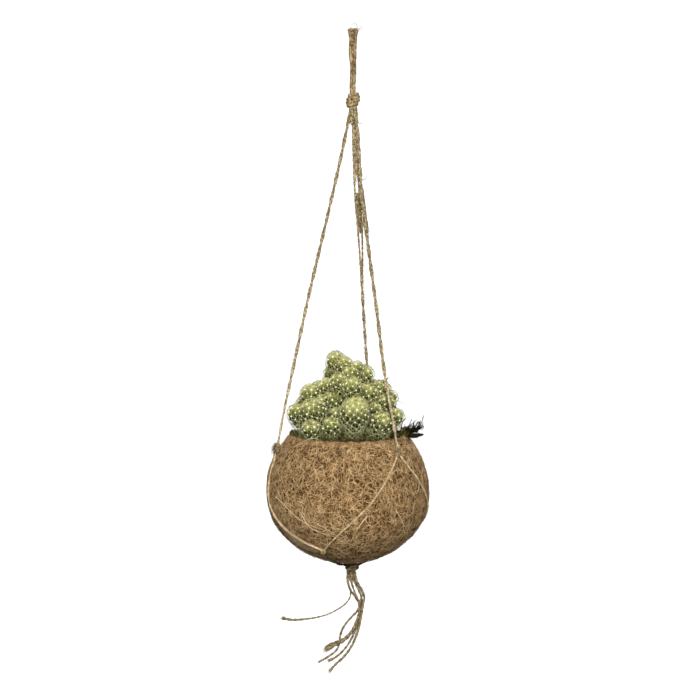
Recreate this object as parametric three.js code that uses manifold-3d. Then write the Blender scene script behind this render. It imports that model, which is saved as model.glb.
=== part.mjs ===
// Hanging planter: a ball of matted coconut fibre in a knotted twine net, planted with a clump of
// small round cactus heads. Millimetres, +Z up, front towards -Y, origin at the top of the loop.
import * as THREE from "three";
import { mergeVertices } from "three/addons/utils/BufferGeometryUtils.js";
import Module from "manifold-3d";

// Driving dimensions
const GAP = 0.35; // between pieces that touch
const VIEW_SLOPE = 0.11; // front heads are listed as seen from 6 degrees above: near ones look lower

const BALL_X = -4.6;
const BALL_Z = -430;
const BALL_RADIUS = 74.5;
const BALL_UP = 78; // vertical half axis above the widest ring
const BALL_DOWN = 63.5; // and below it
const BALL_WALL = 7;
const BALL_LUMP = 0.6; // height of the lumps in the matted fibre
const RIM_LATITUDE = 44;
const BALL_SIDES = 36;
const SOIL_TOP = -374.6;

const STRAND_RADIUS = 1;
const LEG_RADIUS = 1.45; // mean radius of two strands laid together
const LEG_REACH = 2 * LEG_RADIUS; // how far heads keep from the middle of a leg
const LOOP_THIN = 1.1; // radius of the bundled loop at the knot
const LOOP_THICK = 1.85; // and over the hook
const TAIL_RADIUS = 1;
const TOP_KNOT = { at: [0, 0, -66.7], half: [6.2, 5.4, 7.2], wraps: 3 };
const BOTTOM_KNOT = { at: [-0.6, 0, -498.8], half: [6.6, 6, 4.3], wraps: 2 };
const SHOULDER_HALF = [3.5, 3.5, 5.2];
const LOWER_HALF = [3.6, 3.6, 3.4];

const SPINED_SHARE = 0.34; // of a head's tubercles that carry a spine here
const SPINE_WIDTH = 0.45;
const SPINE_LENGTH = 4.2;
const SPINE_SPACE = 1.4; // between two spines
const SPINE_TWINE_SPACE = 6.3; // between a spine and the middle of a leg
const TUBERCLE_DEPTH = 0.14; // of a head's radius
const BODY_SHARE = 0.93; // a head's flesh, of the radius that its spines fill
const NESTLE = 0.95; // neighbours' tubercles fit between each other
const NESTLE_ON_STEM = 0.96; // and press against the old stem
const FUSED = 0.7; // a young head sits this much deeper in the one it grows on
const CLUMP_REACH = 62; // no head is further out than this
const MIDDLE = 3; // a leg this near the middle leaves the heads alone
const LARGE_HEAD = 9.5; // radius from which a head has more rows of tubercles
const NECK_SHARE = 0.55; // the neck that a young head grows on, of its radius

const rad = THREE.MathUtils.degToRad;
const vec = (x, y, z) => new THREE.Vector3(x, y, z);

// Materials
const material = (colour, roughness) =>
  new THREE.MeshStandardMaterial({ color: colour, roughness, metalness: 0 });
const coir = material(0x94774f, 0.95);
const soil = material(0x2e2519, 1);
const twine = material(0xa69c80, 0.9);
const flesh = material(0x7c8a4c, 0.6);
const moss = material(0x3b3a24, 1);

// Repeatable random numbers between 0 and 1
function seeded(seed) {
  let state = seed;
  return () => {
    state = (state * 16807) % 2147483647;
    return state / 2147483647;
  };
}

// Solids are joined where a piece is made of several closed forms.
const wasm = await Module();
wasm.setup();

function solid(geometry) {
  const bare = geometry.clone();
  bare.deleteAttribute("normal");
  bare.deleteAttribute("uv");
  const merged = mergeVertices(bare, 1e-4);
  return new wasm.Manifold(
    new wasm.Mesh({
      numProp: 3,
      vertProperties: new Float32Array(merged.attributes.position.array),
      triVerts: new Uint32Array(merged.index.array),
    }),
  );
}

function joined(geometries) {
  const made = geometries.map(solid).reduce((a, b) => a.add(b)).getMesh();
  return shape(made.vertProperties, Array.from(made.triVerts));
}

function shape(positions, index) {
  const geometry = new THREE.BufferGeometry();
  const values = new Float32Array(positions);
  geometry.setAttribute("position", new THREE.BufferAttribute(values, 3));
  geometry.setIndex(index);
  geometry.computeVertexNormals();
  return geometry;
}

const object = new THREE.Group();

function add(name, geometry, finish) {
  const mesh = new THREE.Mesh(geometry, finish);
  mesh.name = name;
  object.add(mesh);
  return mesh;
}

// A closed tube: a cylinder whose rings are laid along a curve. radiusAt(t, angle) gives its section.
function tube(curve, sides, steps, radiusAt) {
  const geometry = new THREE.CylinderGeometry(1, 1, 1, sides, steps);
  const frames = curve.computeFrenetFrames(steps, false);
  const place = geometry.attributes.position;
  for (let i = 0; i < place.count; i++) {
    const step = Math.round((place.getY(i) + 0.5) * steps);
    const angle = Math.atan2(place.getZ(i), place.getX(i));
    const reach = Math.hypot(place.getX(i), place.getZ(i));
    const radius = reach < 0.5 ? 0 : radiusAt(step / steps, angle);
    const at = curve.getPointAt(step / steps);
    at.addScaledVector(frames.normals[step], radius * Math.cos(angle));
    at.addScaledVector(frames.binormals[step], -radius * Math.sin(angle));
    place.setXYZ(i, at.x, at.y, at.z);
  }
  return geometry;
}

// The stretch of a curve that lies outside the knots at its ends
function between(curve, first, last) {
  const samples = curve.getSpacedPoints(1200);
  const outside = (point, knot) => {
    if (!knot) return true;
    const [x, y, z] = knot.half.map((h) => h + GAP / 2);
    const [u, v, w] = knot.at;
    return Math.hypot((point.x - u) / x, (point.y - v) / y, (point.z - w) / z) >= 1;
  };
  const kept = samples.filter((p) => outside(p, first) && outside(p, last));
  return new THREE.CatmullRomCurve3(kept.filter((p, i) => i % 20 === 0 || i === kept.length - 1));
}

// Coir ball ------------------------------------------------------------------------------------

// A point over the ball at an angle round its axis and a latitude, a height above the smooth form
function overBall(angle, latitude, height) {
  const a = rad(angle);
  const l = rad(latitude);
  const halfAxis = latitude > 0 ? BALL_UP : BALL_DOWN;
  const normal = vec(Math.cos(l) / BALL_RADIUS, 0, Math.sin(l) / halfAxis).normalize();
  const reach = BALL_RADIUS * Math.cos(l) + height * normal.x;
  const rise = halfAxis * Math.sin(l) + height * normal.z;
  return vec(BALL_X + reach * Math.cos(a), reach * Math.sin(a), BALL_Z + rise);
}

function lump(angle, latitude) {
  const a = rad(angle);
  const l = rad(latitude);
  const wide = Math.sin(5 * a + 4 * l) * Math.cos(3 * a - 5 * l);
  return BALL_LUMP * Math.cos(l) * (0.6 * wide + 0.4 * Math.sin(9 * a - 7 * l + 1));
}

// A body of revolution from [latitude, height, lumps] rows, its ends on the axis
function turned(rows, sides) {
  const profile = rows.map(([latitude, height]) => {
    const point = overBall(0, latitude, height);
    return new THREE.Vector2(Math.max(point.x - BALL_X, 0), point.z);
  });
  profile[0].x = 0;
  profile[profile.length - 1].x = 0;
  const geometry = new THREE.LatheGeometry(profile, sides);
  const place = geometry.attributes.position;
  for (let i = 0; i < place.count; i++) {
    const row = i % rows.length;
    const side = Math.floor(i / rows.length) % sides;
    const reach = Math.hypot(place.getX(i), place.getZ(i));
    const angle = (360 * side) / sides;
    const [latitude, , lumps] = rows[row];
    const swell = lumps && reach > 0 ? lump(angle, latitude) * lumps : 0;
    const out = reach + swell * Math.cos(rad(latitude));
    const up = place.getY(i) + swell * Math.sin(rad(latitude));
    place.setXYZ(i, BALL_X + out * Math.cos(rad(angle)), out * Math.sin(rad(angle)), up);
  }
  return geometry;
}

const innerLatitudes = [30, 0, -35, -65, -90];

function coirShell() {
  const outer = [-90, -78, -66, -54, -42, -30, -18, -6, 6, 18, 30];
  return turned(
    [
      ...outer.map((latitude) => [latitude, 0, 1]),
      [RIM_LATITUDE - 2, -0.6, 1],
      [RIM_LATITUDE, -BALL_WALL / 2, 0.5],
      [RIM_LATITUDE - 1.5, -BALL_WALL + 0.6, 0],
      ...innerLatitudes.map((latitude) => [latitude, -BALL_WALL, 0]),
    ],
    BALL_SIDES,
  );
}

// The fill follows the inside of the shell and is heaped a little above the rim.
function soilFill() {
  const wall = innerLatitudes.toReversed().map((latitude) => {
    const point = overBall(0, latitude, -BALL_WALL - GAP);
    return new THREE.Vector2(Math.max(point.x - BALL_X, 0), point.z);
  });
  wall[0].x = 0;
  const lip = overBall(0, RIM_LATITUDE - 1.5, -BALL_WALL - GAP);
  const heap = [
    [lip.x - BALL_X, lip.z],
    [45, SOIL_TOP - 2.4],
    [38, SOIL_TOP - GAP],
    [0, SOIL_TOP - GAP],
  ];
  const profile = [...wall, ...heap.map(([x, z]) => new THREE.Vector2(x, z))];
  return new THREE.LatheGeometry(profile, BALL_SIDES).rotateX(Math.PI / 2).translate(BALL_X, 0, 0);
}

add("coir_shell", coirShell(), coir);
add("soil_fill", soilFill(), soil);

// Twine hanger ---------------------------------------------------------------------------------

// A knot: a rounded lump with the turns of twine winding round it
function knotGeometry(knot, sides, rows) {
  const geometry = new THREE.SphereGeometry(1, sides, rows);
  const place = geometry.attributes.position;
  for (let i = 0; i < place.count; i++) {
    const point = vec(place.getX(i), place.getZ(i), place.getY(i));
    const turn = Math.atan2(point.y, point.x);
    const flat = Math.hypot(point.x, point.y);
    const groove = Math.cos(knot.wraps * Math.PI * point.z * 1.6 + turn);
    const size = flat < 0.05 ? 0.97 : 0.96 + 0.04 * groove;
    point.multiplyScalar(size);
    const [x, y, z] = knot.half;
    const [u, v, w] = knot.at;
    place.setXYZ(i, u + x * point.x, v - y * point.y, w + z * point.z);
  }
  return geometry;
}

// Two strands laid side by side and turning slowly round each other
const paired = (radius, turns) => (t, angle) =>
  radius * (0.68 + 0.62 * Math.abs(Math.cos(angle - turns * Math.PI * 2 * t)));

const shoulders = { right: -47, back: 73, left: 193 };
const SHOULDER_LATITUDE = 32;
const lowers = { front: [-113, -43], right: [14, -37.7], back: [133, -46.2] };

function seated(angle, latitude, half, wraps) {
  const at = overBall(angle, latitude, half[0] + GAP + BALL_LUMP / 2).toArray();
  return { at, half, wraps, angle, latitude };
}

const shoulderKnots = {};
for (const [side, angle] of Object.entries(shoulders)) {
  shoulderKnots[side] = seated(angle, SHOULDER_LATITUDE, SHOULDER_HALF, 2);
}
const lowerKnots = {};
for (const [side, [angle, latitude]] of Object.entries(lowers)) {
  lowerKnots[side] = seated(angle, latitude, LOWER_HALF, 1.5);
}

// The loop: one hairpin of bundled twine over the hook, pinched together down to the knot
function hangingLoop() {
  const side = [
    [1.35, -59.3],
    [1.4, -46],
    [1.7, -34],
    [2.05, -24],
    [2.1, -14],
    [2.5, -7.5],
    [2.9, -4.6],
  ];
  const points = [
    ...side.map(([x, z]) => vec(-x, 0, z)),
    vec(0, 0, -2.3),
    ...side.toReversed().map(([x, z]) => vec(x, 0, z)),
  ];
  const curve = new THREE.CatmullRomCurve3(points);
  const thick = (t) => LOOP_THIN + (LOOP_THICK - LOOP_THIN) * Math.sin(Math.PI * t) ** 1.5;
  return tube(curve, 8, 30, (t, angle) => thick(t) * (0.92 + 0.08 * Math.cos(3 * angle + 40 * t)));
}

add("hanging_loop", hangingLoop(), twine);
add("top_knot", knotGeometry(TOP_KNOT, 12, 12), twine);

// Each leg runs from the top knot to its shoulder knot: [x, y share, z], y as a share of the knot's
const legRoutes = {
  left: [
    [-2.1, 0.06, -70],
    [-2.6, 0.08, -78],
    [-4.8, 0.12, -89],
    [-14.8, 0.24, -136],
    [-27.8, 0.4, -192],
    [-40.7, 0.58, -247],
    [-52.8, 0.75, -303],
    [-64.2, 0.92, -357],
  ],
  right: [
    [2.1, 0.02, -70],
    [2.6, 0.025, -78],
    [4, 0.05, -92],
    [7.9, 0.2, -150],
    [14.4, 0.38, -205],
    [21.8, 0.57, -261],
    [28.7, 0.77, -316],
    [35.6, 0.92, -355],
  ],
  back: [
    [0, 0.035, -70],
    [0, 0.045, -78],
    [0.2, 0.075, -92],
    [2.4, 0.2, -150],
    [6.5, 0.37, -205],
    [9.7, 0.55, -261],
    [13.2, 0.75, -316],
    [15.2, 0.92, -358],
  ],
};

function legCurve(side) {
  const [x, y, z] = shoulderKnots[side].at;
  const route = legRoutes[side].map(([u, share, w]) => vec(u, share * y, w));
  return new THREE.CatmullRomCurve3([...route, vec(x, y, z)]);
}

for (const side of Object.keys(legRoutes)) {
  const curve = between(legCurve(side), TOP_KNOT, shoulderKnots[side]);
  add(`hanger_leg_${side}`, tube(curve, 8, 24, paired(LEG_RADIUS * 0.95, 4)), twine);
  add(`shoulder_knot_${side}`, knotGeometry(shoulderKnots[side], 10, 8), twine);
}

// A strand over the ball between two knots. lag keeps it near its first angle for longer.
function strandCurve(from, to, lag) {
  const points = [];
  for (let i = 0; i <= 24; i++) {
    const t = i / 24;
    const angle = from.angle + (to.angle - from.angle) * t ** lag;
    const latitude = from.latitude + (to.latitude - from.latitude) * t;
    const near = Math.max(0, 1 - Math.min(t, 1 - t) / 0.12);
    const lift = STRAND_RADIUS + GAP + BALL_LUMP / 2;
    points.push(overBall(angle, latitude, lift + near * (SHOULDER_HALF[0] - STRAND_RADIUS)));
  }
  return between(new THREE.CatmullRomCurve3(points), from, to);
}

const turnedBack = (knot, by) => ({ ...knot, angle: knot.angle + by });
const { left, right, back } = shoulderKnots;
const netStrands = {
  left_front: [turnedBack(left, -360), lowerKnots.front, 3.5],
  left_back: [left, lowerKnots.back, 1],
  right_front: [right, lowerKnots.front, 1],
  right_right: [right, lowerKnots.right, 1],
  back_right: [back, lowerKnots.right, 1],
  back_back: [back, lowerKnots.back, 1],
};
const round = (radius) => () => radius;

for (const [name, [from, to, lag]] of Object.entries(netStrands)) {
  const curve = strandCurve(from, to, lag);
  add(`net_strand_${name}`, tube(curve, 6, 14, round(STRAND_RADIUS)), twine);
}
for (const [side, knot] of Object.entries(lowerKnots)) {
  add(`lower_knot_${side}`, knotGeometry(knot, 10, 8), twine);
  const under = [0, 0.15, 0.35, 0.55, 0.75].map((t) =>
    overBall(knot.angle, knot.latitude + (-82 - knot.latitude) * t, 1.8 + GAP + BALL_LUMP),
  );
  const [x, y, z] = BOTTOM_KNOT.at;
  const curve = new THREE.CatmullRomCurve3([...under, vec(x, y, z)]);
  const path = between(curve, knot, BOTTOM_KNOT);
  add(`gather_strand_${side}`, tube(path, 8, 9, paired(LEG_RADIUS * 0.85, 1)), twine);
}
add("bottom_knot", knotGeometry(BOTTOM_KNOT, 12, 8), twine);

// Free ends of twine under the bottom knot, each a plain tube along its own route
const tailRoutes = {
  sweeping_left: [
    [-4.4, 2.6, -502.8],
    [-4.8, 2.8, -511],
    [-3.8, 2.7, -517.6],
    [-2.2, 2.4, -523.2],
    [-3.2, 1.7, -528.4],
    [-7.4, 0.6, -533.6],
    [-15, -0.6, -538.6],
    [-24, -1.4, -542.8],
    [-34, -1.8, -545.4],
    [-44.4, -2, -546.9],
    [-56, -2, -547.6],
    [-65.4, -2, -546],
  ],
  looped: [
    [-1.8, -2.6, -503.25],
    [-1.2, -2.9, -513],
    [1.2, -3.2, -520.6],
    [4, -3.6, -527.2],
    [5.8, -3.9, -533],
    [4, -4, -538.8],
    [-0.6, -3.9, -543.8],
    [-5.8, -3.7, -549.6],
    [-9.8, -3.4, -556],
    [-11.8, -3.2, -562],
    [-12.6, -3, -569],
    [-15.4, -2.6, -575.6],
    [-23.6, -2.4, -582],
    [-32.2, -2.2, -586.8],
  ],
  frayed: [
    [-4.6, -0.2, -503.05],
    [-4.9, -0.2, -512],
    [-2.6, -0.2, -519.6],
    [1.6, -0.1, -526],
    [5.2, 0.2, -532],
    [6, 0.3, -538],
    [5, 0, -544],
    [2.8, -0.4, -550.4],
    [-0.4, -0.6, -557.4],
    [-5, -0.4, -563.4],
    [-11.6, -0.2, -568.2],
    [-18.4, -0.2, -571],
    [-24, -0.2, -574.6],
  ],
  middle: [
    [0.2, 1, -503.5],
    [1.6, 1.3, -513],
    [5, 1.9, -520.4],
    [7.6, 2.6, -527],
    [8, 3, -533.6],
    [7, 2.9, -541],
    [5.2, 2.5, -549],
    [2, 2, -558],
    [-2.6, 1.6, -568],
    [-9.6, 1.6, -577.4],
    [-17.4, 1.6, -583.8],
    [-22.8, 1.6, -586.2],
  ],
  lowest: [
    [1.4, -1.6, -503.1],
    [3.8, -1.6, -512.6],
    [8.2, -1.5, -519.8],
    [10.4, -1.6, -526.6],
    [9.4, -1.8, -533.4],
    [8.2, -1.8, -541],
    [6.2, -1.6, -551],
    [3.2, -1.3, -562],
    [-1.8, -1.2, -573],
    [-8.6, -1.2, -582],
    [-16.2, -1.2, -589],
    [-21.6, -1.2, -595.2],
  ],
};

function ring(radius, sides) {
  const section = new THREE.Shape();
  for (let i = 0; i < sides; i++) {
    const angle = (i / sides) * Math.PI * 2;
    section[i ? "lineTo" : "moveTo"](radius * Math.cos(angle), radius * Math.sin(angle));
  }
  return section;
}

for (const [name, route] of Object.entries(tailRoutes)) {
  const extrudePath = new THREE.CatmullRomCurve3(route.map((p) => vec(...p)));
  const shaped = { steps: 16, curveSegments: 1, bevelEnabled: false, extrudePath };
  const geometry = new THREE.ExtrudeGeometry(ring(TAIL_RADIUS, 8), shaped);
  add(`twine_tail_${name}`, geometry, twine);
}

// Cactus clump ---------------------------------------------------------------------------------

// The tallest head has the old stem under it, with three branches that the others crowd round.
const STEM_FOOT = vec(-6, 0, SOIL_TOP);
const STEM_TOP = vec(-15.7, 8, -308.3);
const TALLEST_RADIUS = 9.3;
const STEM_NECK = 5; // the old stem's radius under the tallest head
const STEM_SPREAD = 19; // and how much more it is at the soil
const stemRadius = (share) => STEM_NECK + STEM_SPREAD * (1 - share);
const BRANCH_FOOT = vec(-6, 0, -358);
const BRANCH_RADIUS = 6;
const branchTips = [vec(9, 8, -331), vec(-35, 2, -349), vec(26, 2, -348)];

// Heads of the front: [x, z, radius, deepest y, number of the head it grows from]. Each sits as far
// back as the stem, the twine and the heads listed before it leave room, or at its deepest y.
const frontHeads = [
  [-8.3, -313, 8.3],
  [10.6, -321.3, 8.6, 6],
  [3.7, -314.8, 5.6, 6, 3],
  [-24, -332.4, 7.6, -2],
  [-2.8, -321.3, 7.8],
  [-13, -327.8, 7.8],
  [-39, -339.8, 9.6, -6],
  [25.9, -336.1, 9.3, -4],
  [35.2, -342.6, 6, 0, 9],
  [-0.9, -332.4, 8.6],
  [13.9, -338.9, 8.8],
  [30.6, -347.3, 7.9],
  [-16.7, -344.5, 9.7],
  [-27.8, -347.3, 6.5, 0, 14],
  [-51.6, -357.4, 8.8, -16.5],
  [-37, -354.7, 12.8],
  [-14.4, -357.4, 6, 0],
  [20, -353.2, 6],
  [26.9, -365.8, 10.4],
  [39.4, -360.2, 7.4, -16, 20],
  [1.4, -357.4, 13.6],
  [-38.5, -371, 8],
  [-20.4, -369.5, 9],
  [-7.4, -374.1, 5],
  [13, -375, 5],
];
// Heads of the back, written the same way, as far forward as there is room
const backHeads = [
  [-5, -320.5, 8.5],
  [-20, -324, 7.5, 0, 27],
  [-31, -338.5, 9.5],
  [-14, -336, 9.5],
  [3, -334.5, 9.5],
  [21, -338, 10],
  [-43, -352, 10.5, 0, 29],
  [-25, -352, 11],
  [-4, -351, 12],
  [16, -353, 11.5],
  [30.5, -352.5, 9, 0, 36],
  [-36, -366, 9, 0, 34],
  [-15, -367, 9.5, 0, 35],
  [6, -368, 9, 0, 36],
  [25, -368, 9, -18, 36],
];

const placed = [];
const legLines = Object.keys(legRoutes).map((side) => legCurve(side).getSpacedPoints(30));

// How far a point is from the old stem's surface and its branches
function stemDistance(at) {
  const share = THREE.MathUtils.clamp((at.z - STEM_FOOT.z) / (STEM_TOP.z - STEM_FOOT.z), 0, 1);
  const away = at.clone().sub(STEM_FOOT.clone().lerp(STEM_TOP, share)).setZ(0);
  const out = away.length() - stemRadius(share);
  const lean = STEM_TOP.clone().sub(STEM_FOOT);
  const slope = (lean.dot(away.normalize()) - STEM_SPREAD) / lean.z;
  let least = out / Math.hypot(1, slope);
  const near = vec(0, 0, 0);
  for (const tip of branchTips) {
    new THREE.Line3(BRANCH_FOOT, tip).closestPointToPoint(at, true, near);
    least = Math.min(least, at.distanceTo(near) - BRANCH_RADIUS);
  }
  return least;
}

// How far a ball is from the old stem, the legs and the heads that are there already
function room(at, radius, parent) {
  let least = stemDistance(at) - radius * NESTLE_ON_STEM;
  for (const line of legLines) {
    for (const point of line) {
      least = Math.min(least, at.distanceTo(point) - LEG_REACH - radius);
    }
  }
  for (const other of placed) {
    const reach = (radius + other.radius) * NESTLE;
    const allowed = other === parent ? FUSED * reach : reach;
    least = Math.min(least, at.distanceTo(other.at) - allowed);
  }
  return least;
}

const HEART = vec(-8, 0, -405); // the heads point away from here, so mostly upwards
const STEP = 0.25;

function settle(name, [x, z, wide, deepest = 0, grownFrom], front) {
  const radius = wide * BODY_SHARE;
  const parent = grownFrom ? placed[grownFrom - 1] : undefined;
  const rank = front ? 1 : -1;
  const spot = (y) => vec(x, y, front ? z - y * VIEW_SLOPE : z);
  const behindLeg = (y) =>
    legLines.flat().every((point) => {
      const crosses = Math.hypot(point.x - x, point.z - spot(y).z) < radius + LEG_REACH;
      return !crosses || point.y * rank > -MIDDLE || (y - point.y) * rank > 0;
    });
  let y = -CLUMP_REACH * rank;
  while (!behindLeg(y) || room(spot(y), radius, parent) < GAP) y += STEP * rank;
  while (room(spot(y + STEP * rank), radius, parent) >= GAP && y * rank < deepest) {
    y += STEP * rank;
  }
  const at = spot(y);
  const axis = at.clone().sub(HEART).normalize();
  placed.push({ name, at, radius, axis, parent });
}

const two = (number) => String(number).padStart(2, "0");
placed.push({
  name: "cactus_head_01",
  at: STEM_TOP,
  radius: TALLEST_RADIUS * BODY_SHARE,
  axis: STEM_TOP.clone().sub(HEART).normalize(),
});
frontHeads.forEach((head, i) => settle(`cactus_head_${two(i + 2)}`, head, true));
backHeads.forEach((head, i) => settle(`cactus_head_${two(i + 27)}`, head, false));

// A head: a ball of tubercles in a staggered net of rows, every third point a raised tip
function tubercled(head) {
  const sides = head.radius > LARGE_HEAD ? 15 : 12;
  const rows = head.radius > LARGE_HEAD ? 9 : 7;
  const up = head.axis;
  const east = vec(0, 0, 1).cross(up).normalize();
  const north = up.clone().cross(east);
  const points = [];
  const tips = [];
  for (let row = 0; row <= rows; row++) {
    const polar = (row / rows) * Math.PI;
    const count = row === 0 || row === rows ? 1 : sides;
    for (let i = 0; i < count; i++) {
      const turn = ((i - row / 2) / sides) * Math.PI * 2;
      const isTip = count > 1 && (i + row) % 3 === 0;
      const relief = THREE.MathUtils.clamp(2.5 - 1.27 * polar, 0.3, 1); // flatter low down
      const size = isTip || row === 0 ? 1 : 1 - TUBERCLE_DEPTH * relief;
      const out = up.clone().multiplyScalar(Math.cos(polar));
      out.addScaledVector(east, Math.sin(polar) * Math.cos(turn));
      out.addScaledVector(north, Math.sin(polar) * Math.sin(turn));
      if (isTip && polar < 2.1) tips.push({ index: points.length, out, polar });
      const point = head.at.clone().addScaledVector(out, head.radius * size);
      point.z = Math.max(point.z, SOIL_TOP); // flat where it stands on the soil
      points.push(point);
    }
  }
  const faces = [];
  const first = (row) => (row === 0 ? 0 : 1 + (row - 1) * sides);
  for (let row = 0; row < rows; row++) {
    for (let i = 0; i < sides; i++) {
      const next = (i + 1) % sides;
      const a = row === 0 ? 0 : first(row) + i;
      const b = row === 0 ? 0 : first(row) + next;
      const c = row === rows - 1 ? first(rows) : first(row + 1) + i;
      const d = row === rows - 1 ? first(rows) : first(row + 1) + next;
      if (row > 0) faces.push([a, d, b]);
      if (row < rows - 1) faces.push([a, c, d]);
    }
  }
  return { points, faces, tips };
}

// Replaces a tip by a three-sided spine that tapers to a point
function growSpine(mesh, index, end) {
  const around = new Map();
  const kept = [];
  for (const face of mesh.faces) {
    const k = face.indexOf(index);
    if (k < 0) kept.push(face);
    else around.set(face[(k + 1) % 3], face[(k + 2) % 3]);
  }
  const edge = [around.keys().next().value];
  while (edge.length < around.size) edge.push(around.get(edge[edge.length - 1]));
  const tip = mesh.points[index];
  const foot = [];
  const count = edge.length;
  for (let k = 0; k < 3; k++) {
    const [a, b] = [edge[2 * k], edge[(2 * k + 1) % count]];
    const away = mesh.points[a].clone().add(mesh.points[b]).divideScalar(2).sub(tip);
    away.setLength(SPINE_WIDTH);
    foot.push(mesh.points.push(tip.clone().add(away)) - 1);
  }
  mesh.points[index] = end;
  for (let k = 0; k < 3; k++) {
    const [a, b, c] = [0, 1, 2].map((next) => edge[(2 * k + next) % count]);
    const [s, t] = [foot[k], foot[(k + 1) % 3]];
    kept.push([s, a, b], [s, b, t], [s, t, index]);
    if (2 * k + 1 < count) kept.push([t, b, c]);
  }
  mesh.faces = kept;
}

const grownSpines = [];

// A spine stays where nothing else is in its way.
function spineFits(head, from, end) {
  const along = new THREE.Line3(from, end);
  const near = vec(0, 0, 0);
  for (const other of placed) {
    if (other === head) continue;
    along.closestPointToPoint(other.at, true, near);
    if (near.distanceTo(other.at) < other.radius + 2 * GAP) return false;
  }
  for (const line of legLines) {
    for (const point of line) {
      along.closestPointToPoint(point, true, near);
      if (near.distanceTo(point) < SPINE_TWINE_SPACE) return false;
    }
  }
  for (const spine of grownSpines) {
    for (const share of [0, 0.25, 0.5, 0.75, 1]) {
      const point = from.clone().lerp(end, share);
      spine.closestPointToPoint(point, true, near);
      if (near.distanceTo(point) < SPINE_SPACE) return false;
    }
  }
  const clear = [0.5, 1].every((share) => stemDistance(from.clone().lerp(end, share)) > 2 * GAP);
  if (!clear || Math.min(from.z, end.z) < SOIL_TOP + 2) return false;
  grownSpines.push(along);
  return true;
}

function headGeometry(head, number) {
  const random = seeded(4100 + 97 * number);
  const mesh = tubercled(head);
  for (const { index, out, polar } of mesh.tips) {
    if (random() > SPINED_SHARE) continue;
    const swing = vec(random() - 0.5, random() - 0.5, random() - 0.5).multiplyScalar(0.9);
    const way = out.clone().addScaledVector(head.axis, 0.5 * Math.sin(polar)).add(swing);
    const from = mesh.points[index];
    const end = from.clone().addScaledVector(way.normalize(), SPINE_LENGTH);
    if (spineFits(head, from, end)) growSpine(mesh, index, end);
  }
  return shape(mesh.points.flatMap((p) => p.toArray()), mesh.faces.flat());
}

function oldStem() {
  const profile = [[0, 0], [stemRadius(0), 0], [stemRadius(1), 1], [0, 1]];
  const geometry = new THREE.LatheGeometry(profile.map(([x, y]) => new THREE.Vector2(x, y)), 18);
  const axis = STEM_TOP.clone().sub(STEM_FOOT);
  const place = geometry.attributes.position;
  for (let i = 0; i < place.count; i++) {
    const at = STEM_FOOT.clone().addScaledVector(axis, place.getY(i));
    place.setXYZ(i, at.x + place.getX(i), at.y - place.getZ(i), at.z);
  }
  return geometry;
}

function roundEnded(from, to, radius) {
  const along = to.clone().sub(from);
  const geometry = new THREE.CapsuleGeometry(radius, along.length(), 3, 10);
  const turn = new THREE.Quaternion().setFromUnitVectors(vec(0, 1, 0), along.normalize());
  return geometry.applyQuaternion(turn).translate(...from.clone().lerp(to, 0.5).toArray());
}

const clump = new Map();
placed.forEach((head, i) => {
  const geometry = headGeometry(head, i);
  let root = head;
  while (root.parent) root = root.parent;
  if (!clump.has(root.name)) clump.set(root.name, []);
  clump.get(root.name).push(geometry);
  if (head.parent) {
    const neck = new THREE.LineCurve3(head.parent.at, head.at);
    clump.get(root.name).push(tube(neck, 7, 1, () => head.radius * NECK_SHARE));
  }
});
clump.get("cactus_head_01").push(oldStem());
for (const tip of branchTips) {
  clump.get("cactus_head_01").push(roundEnded(BRANCH_FOOT, tip, BRANCH_RADIUS));
}
for (const [name, geometries] of clump) {
  add(name, geometries.length > 1 ? joined(geometries) : geometries[0], flesh);
}

// Dry moss at the rim --------------------------------------------------------------------------

// A low cushion with bent, pointed branchlets that turn up at their ends, the longest of them reach
function mossTuft(centre, half, twigs, reach, seed) {
  const random = seeded(seed);
  const cushion = new THREE.SphereGeometry(1, 9, 6);
  cushion.scale(...half).translate(...centre);
  const pieces = [cushion];
  for (let i = 0; i < twigs; i++) {
    const turn = rad(-75 + (150 * (i + random())) / twigs);
    const outward = Math.sign(centre[0]);
    const way = vec(outward * Math.cos(turn), Math.sin(turn), 0);
    const long = reach * (0.5 + 0.5 * random());
    const rise = reach * (0.15 + 0.75 * random());
    const root = vec(...centre).addScaledVector(way, half[0] * 0.4);
    root.z += (random() - 0.4) * half[2];
    const middle = root.clone().addScaledVector(way, long * 0.6).add(vec(0, 0, rise * 0.25));
    const end = root.clone().addScaledVector(way, long).add(vec(0, 0, rise));
    const curve = new THREE.CatmullRomCurve3([root, middle, end]);
    pieces.push(tube(curve, 3, 2, (t) => 1 - 0.75 * t));
  }
  return joined(pieces);
}

add("moss_tuft_right", mossTuft([48.5, -6, -373], [6, 11, 4.6], 13, 15, 77), moss);
add("moss_tuft_left", mossTuft([-54, -6, -374.8], [3.6, 10, 2.8], 8, 6, 31), moss);

export default object;
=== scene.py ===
import math

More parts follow.
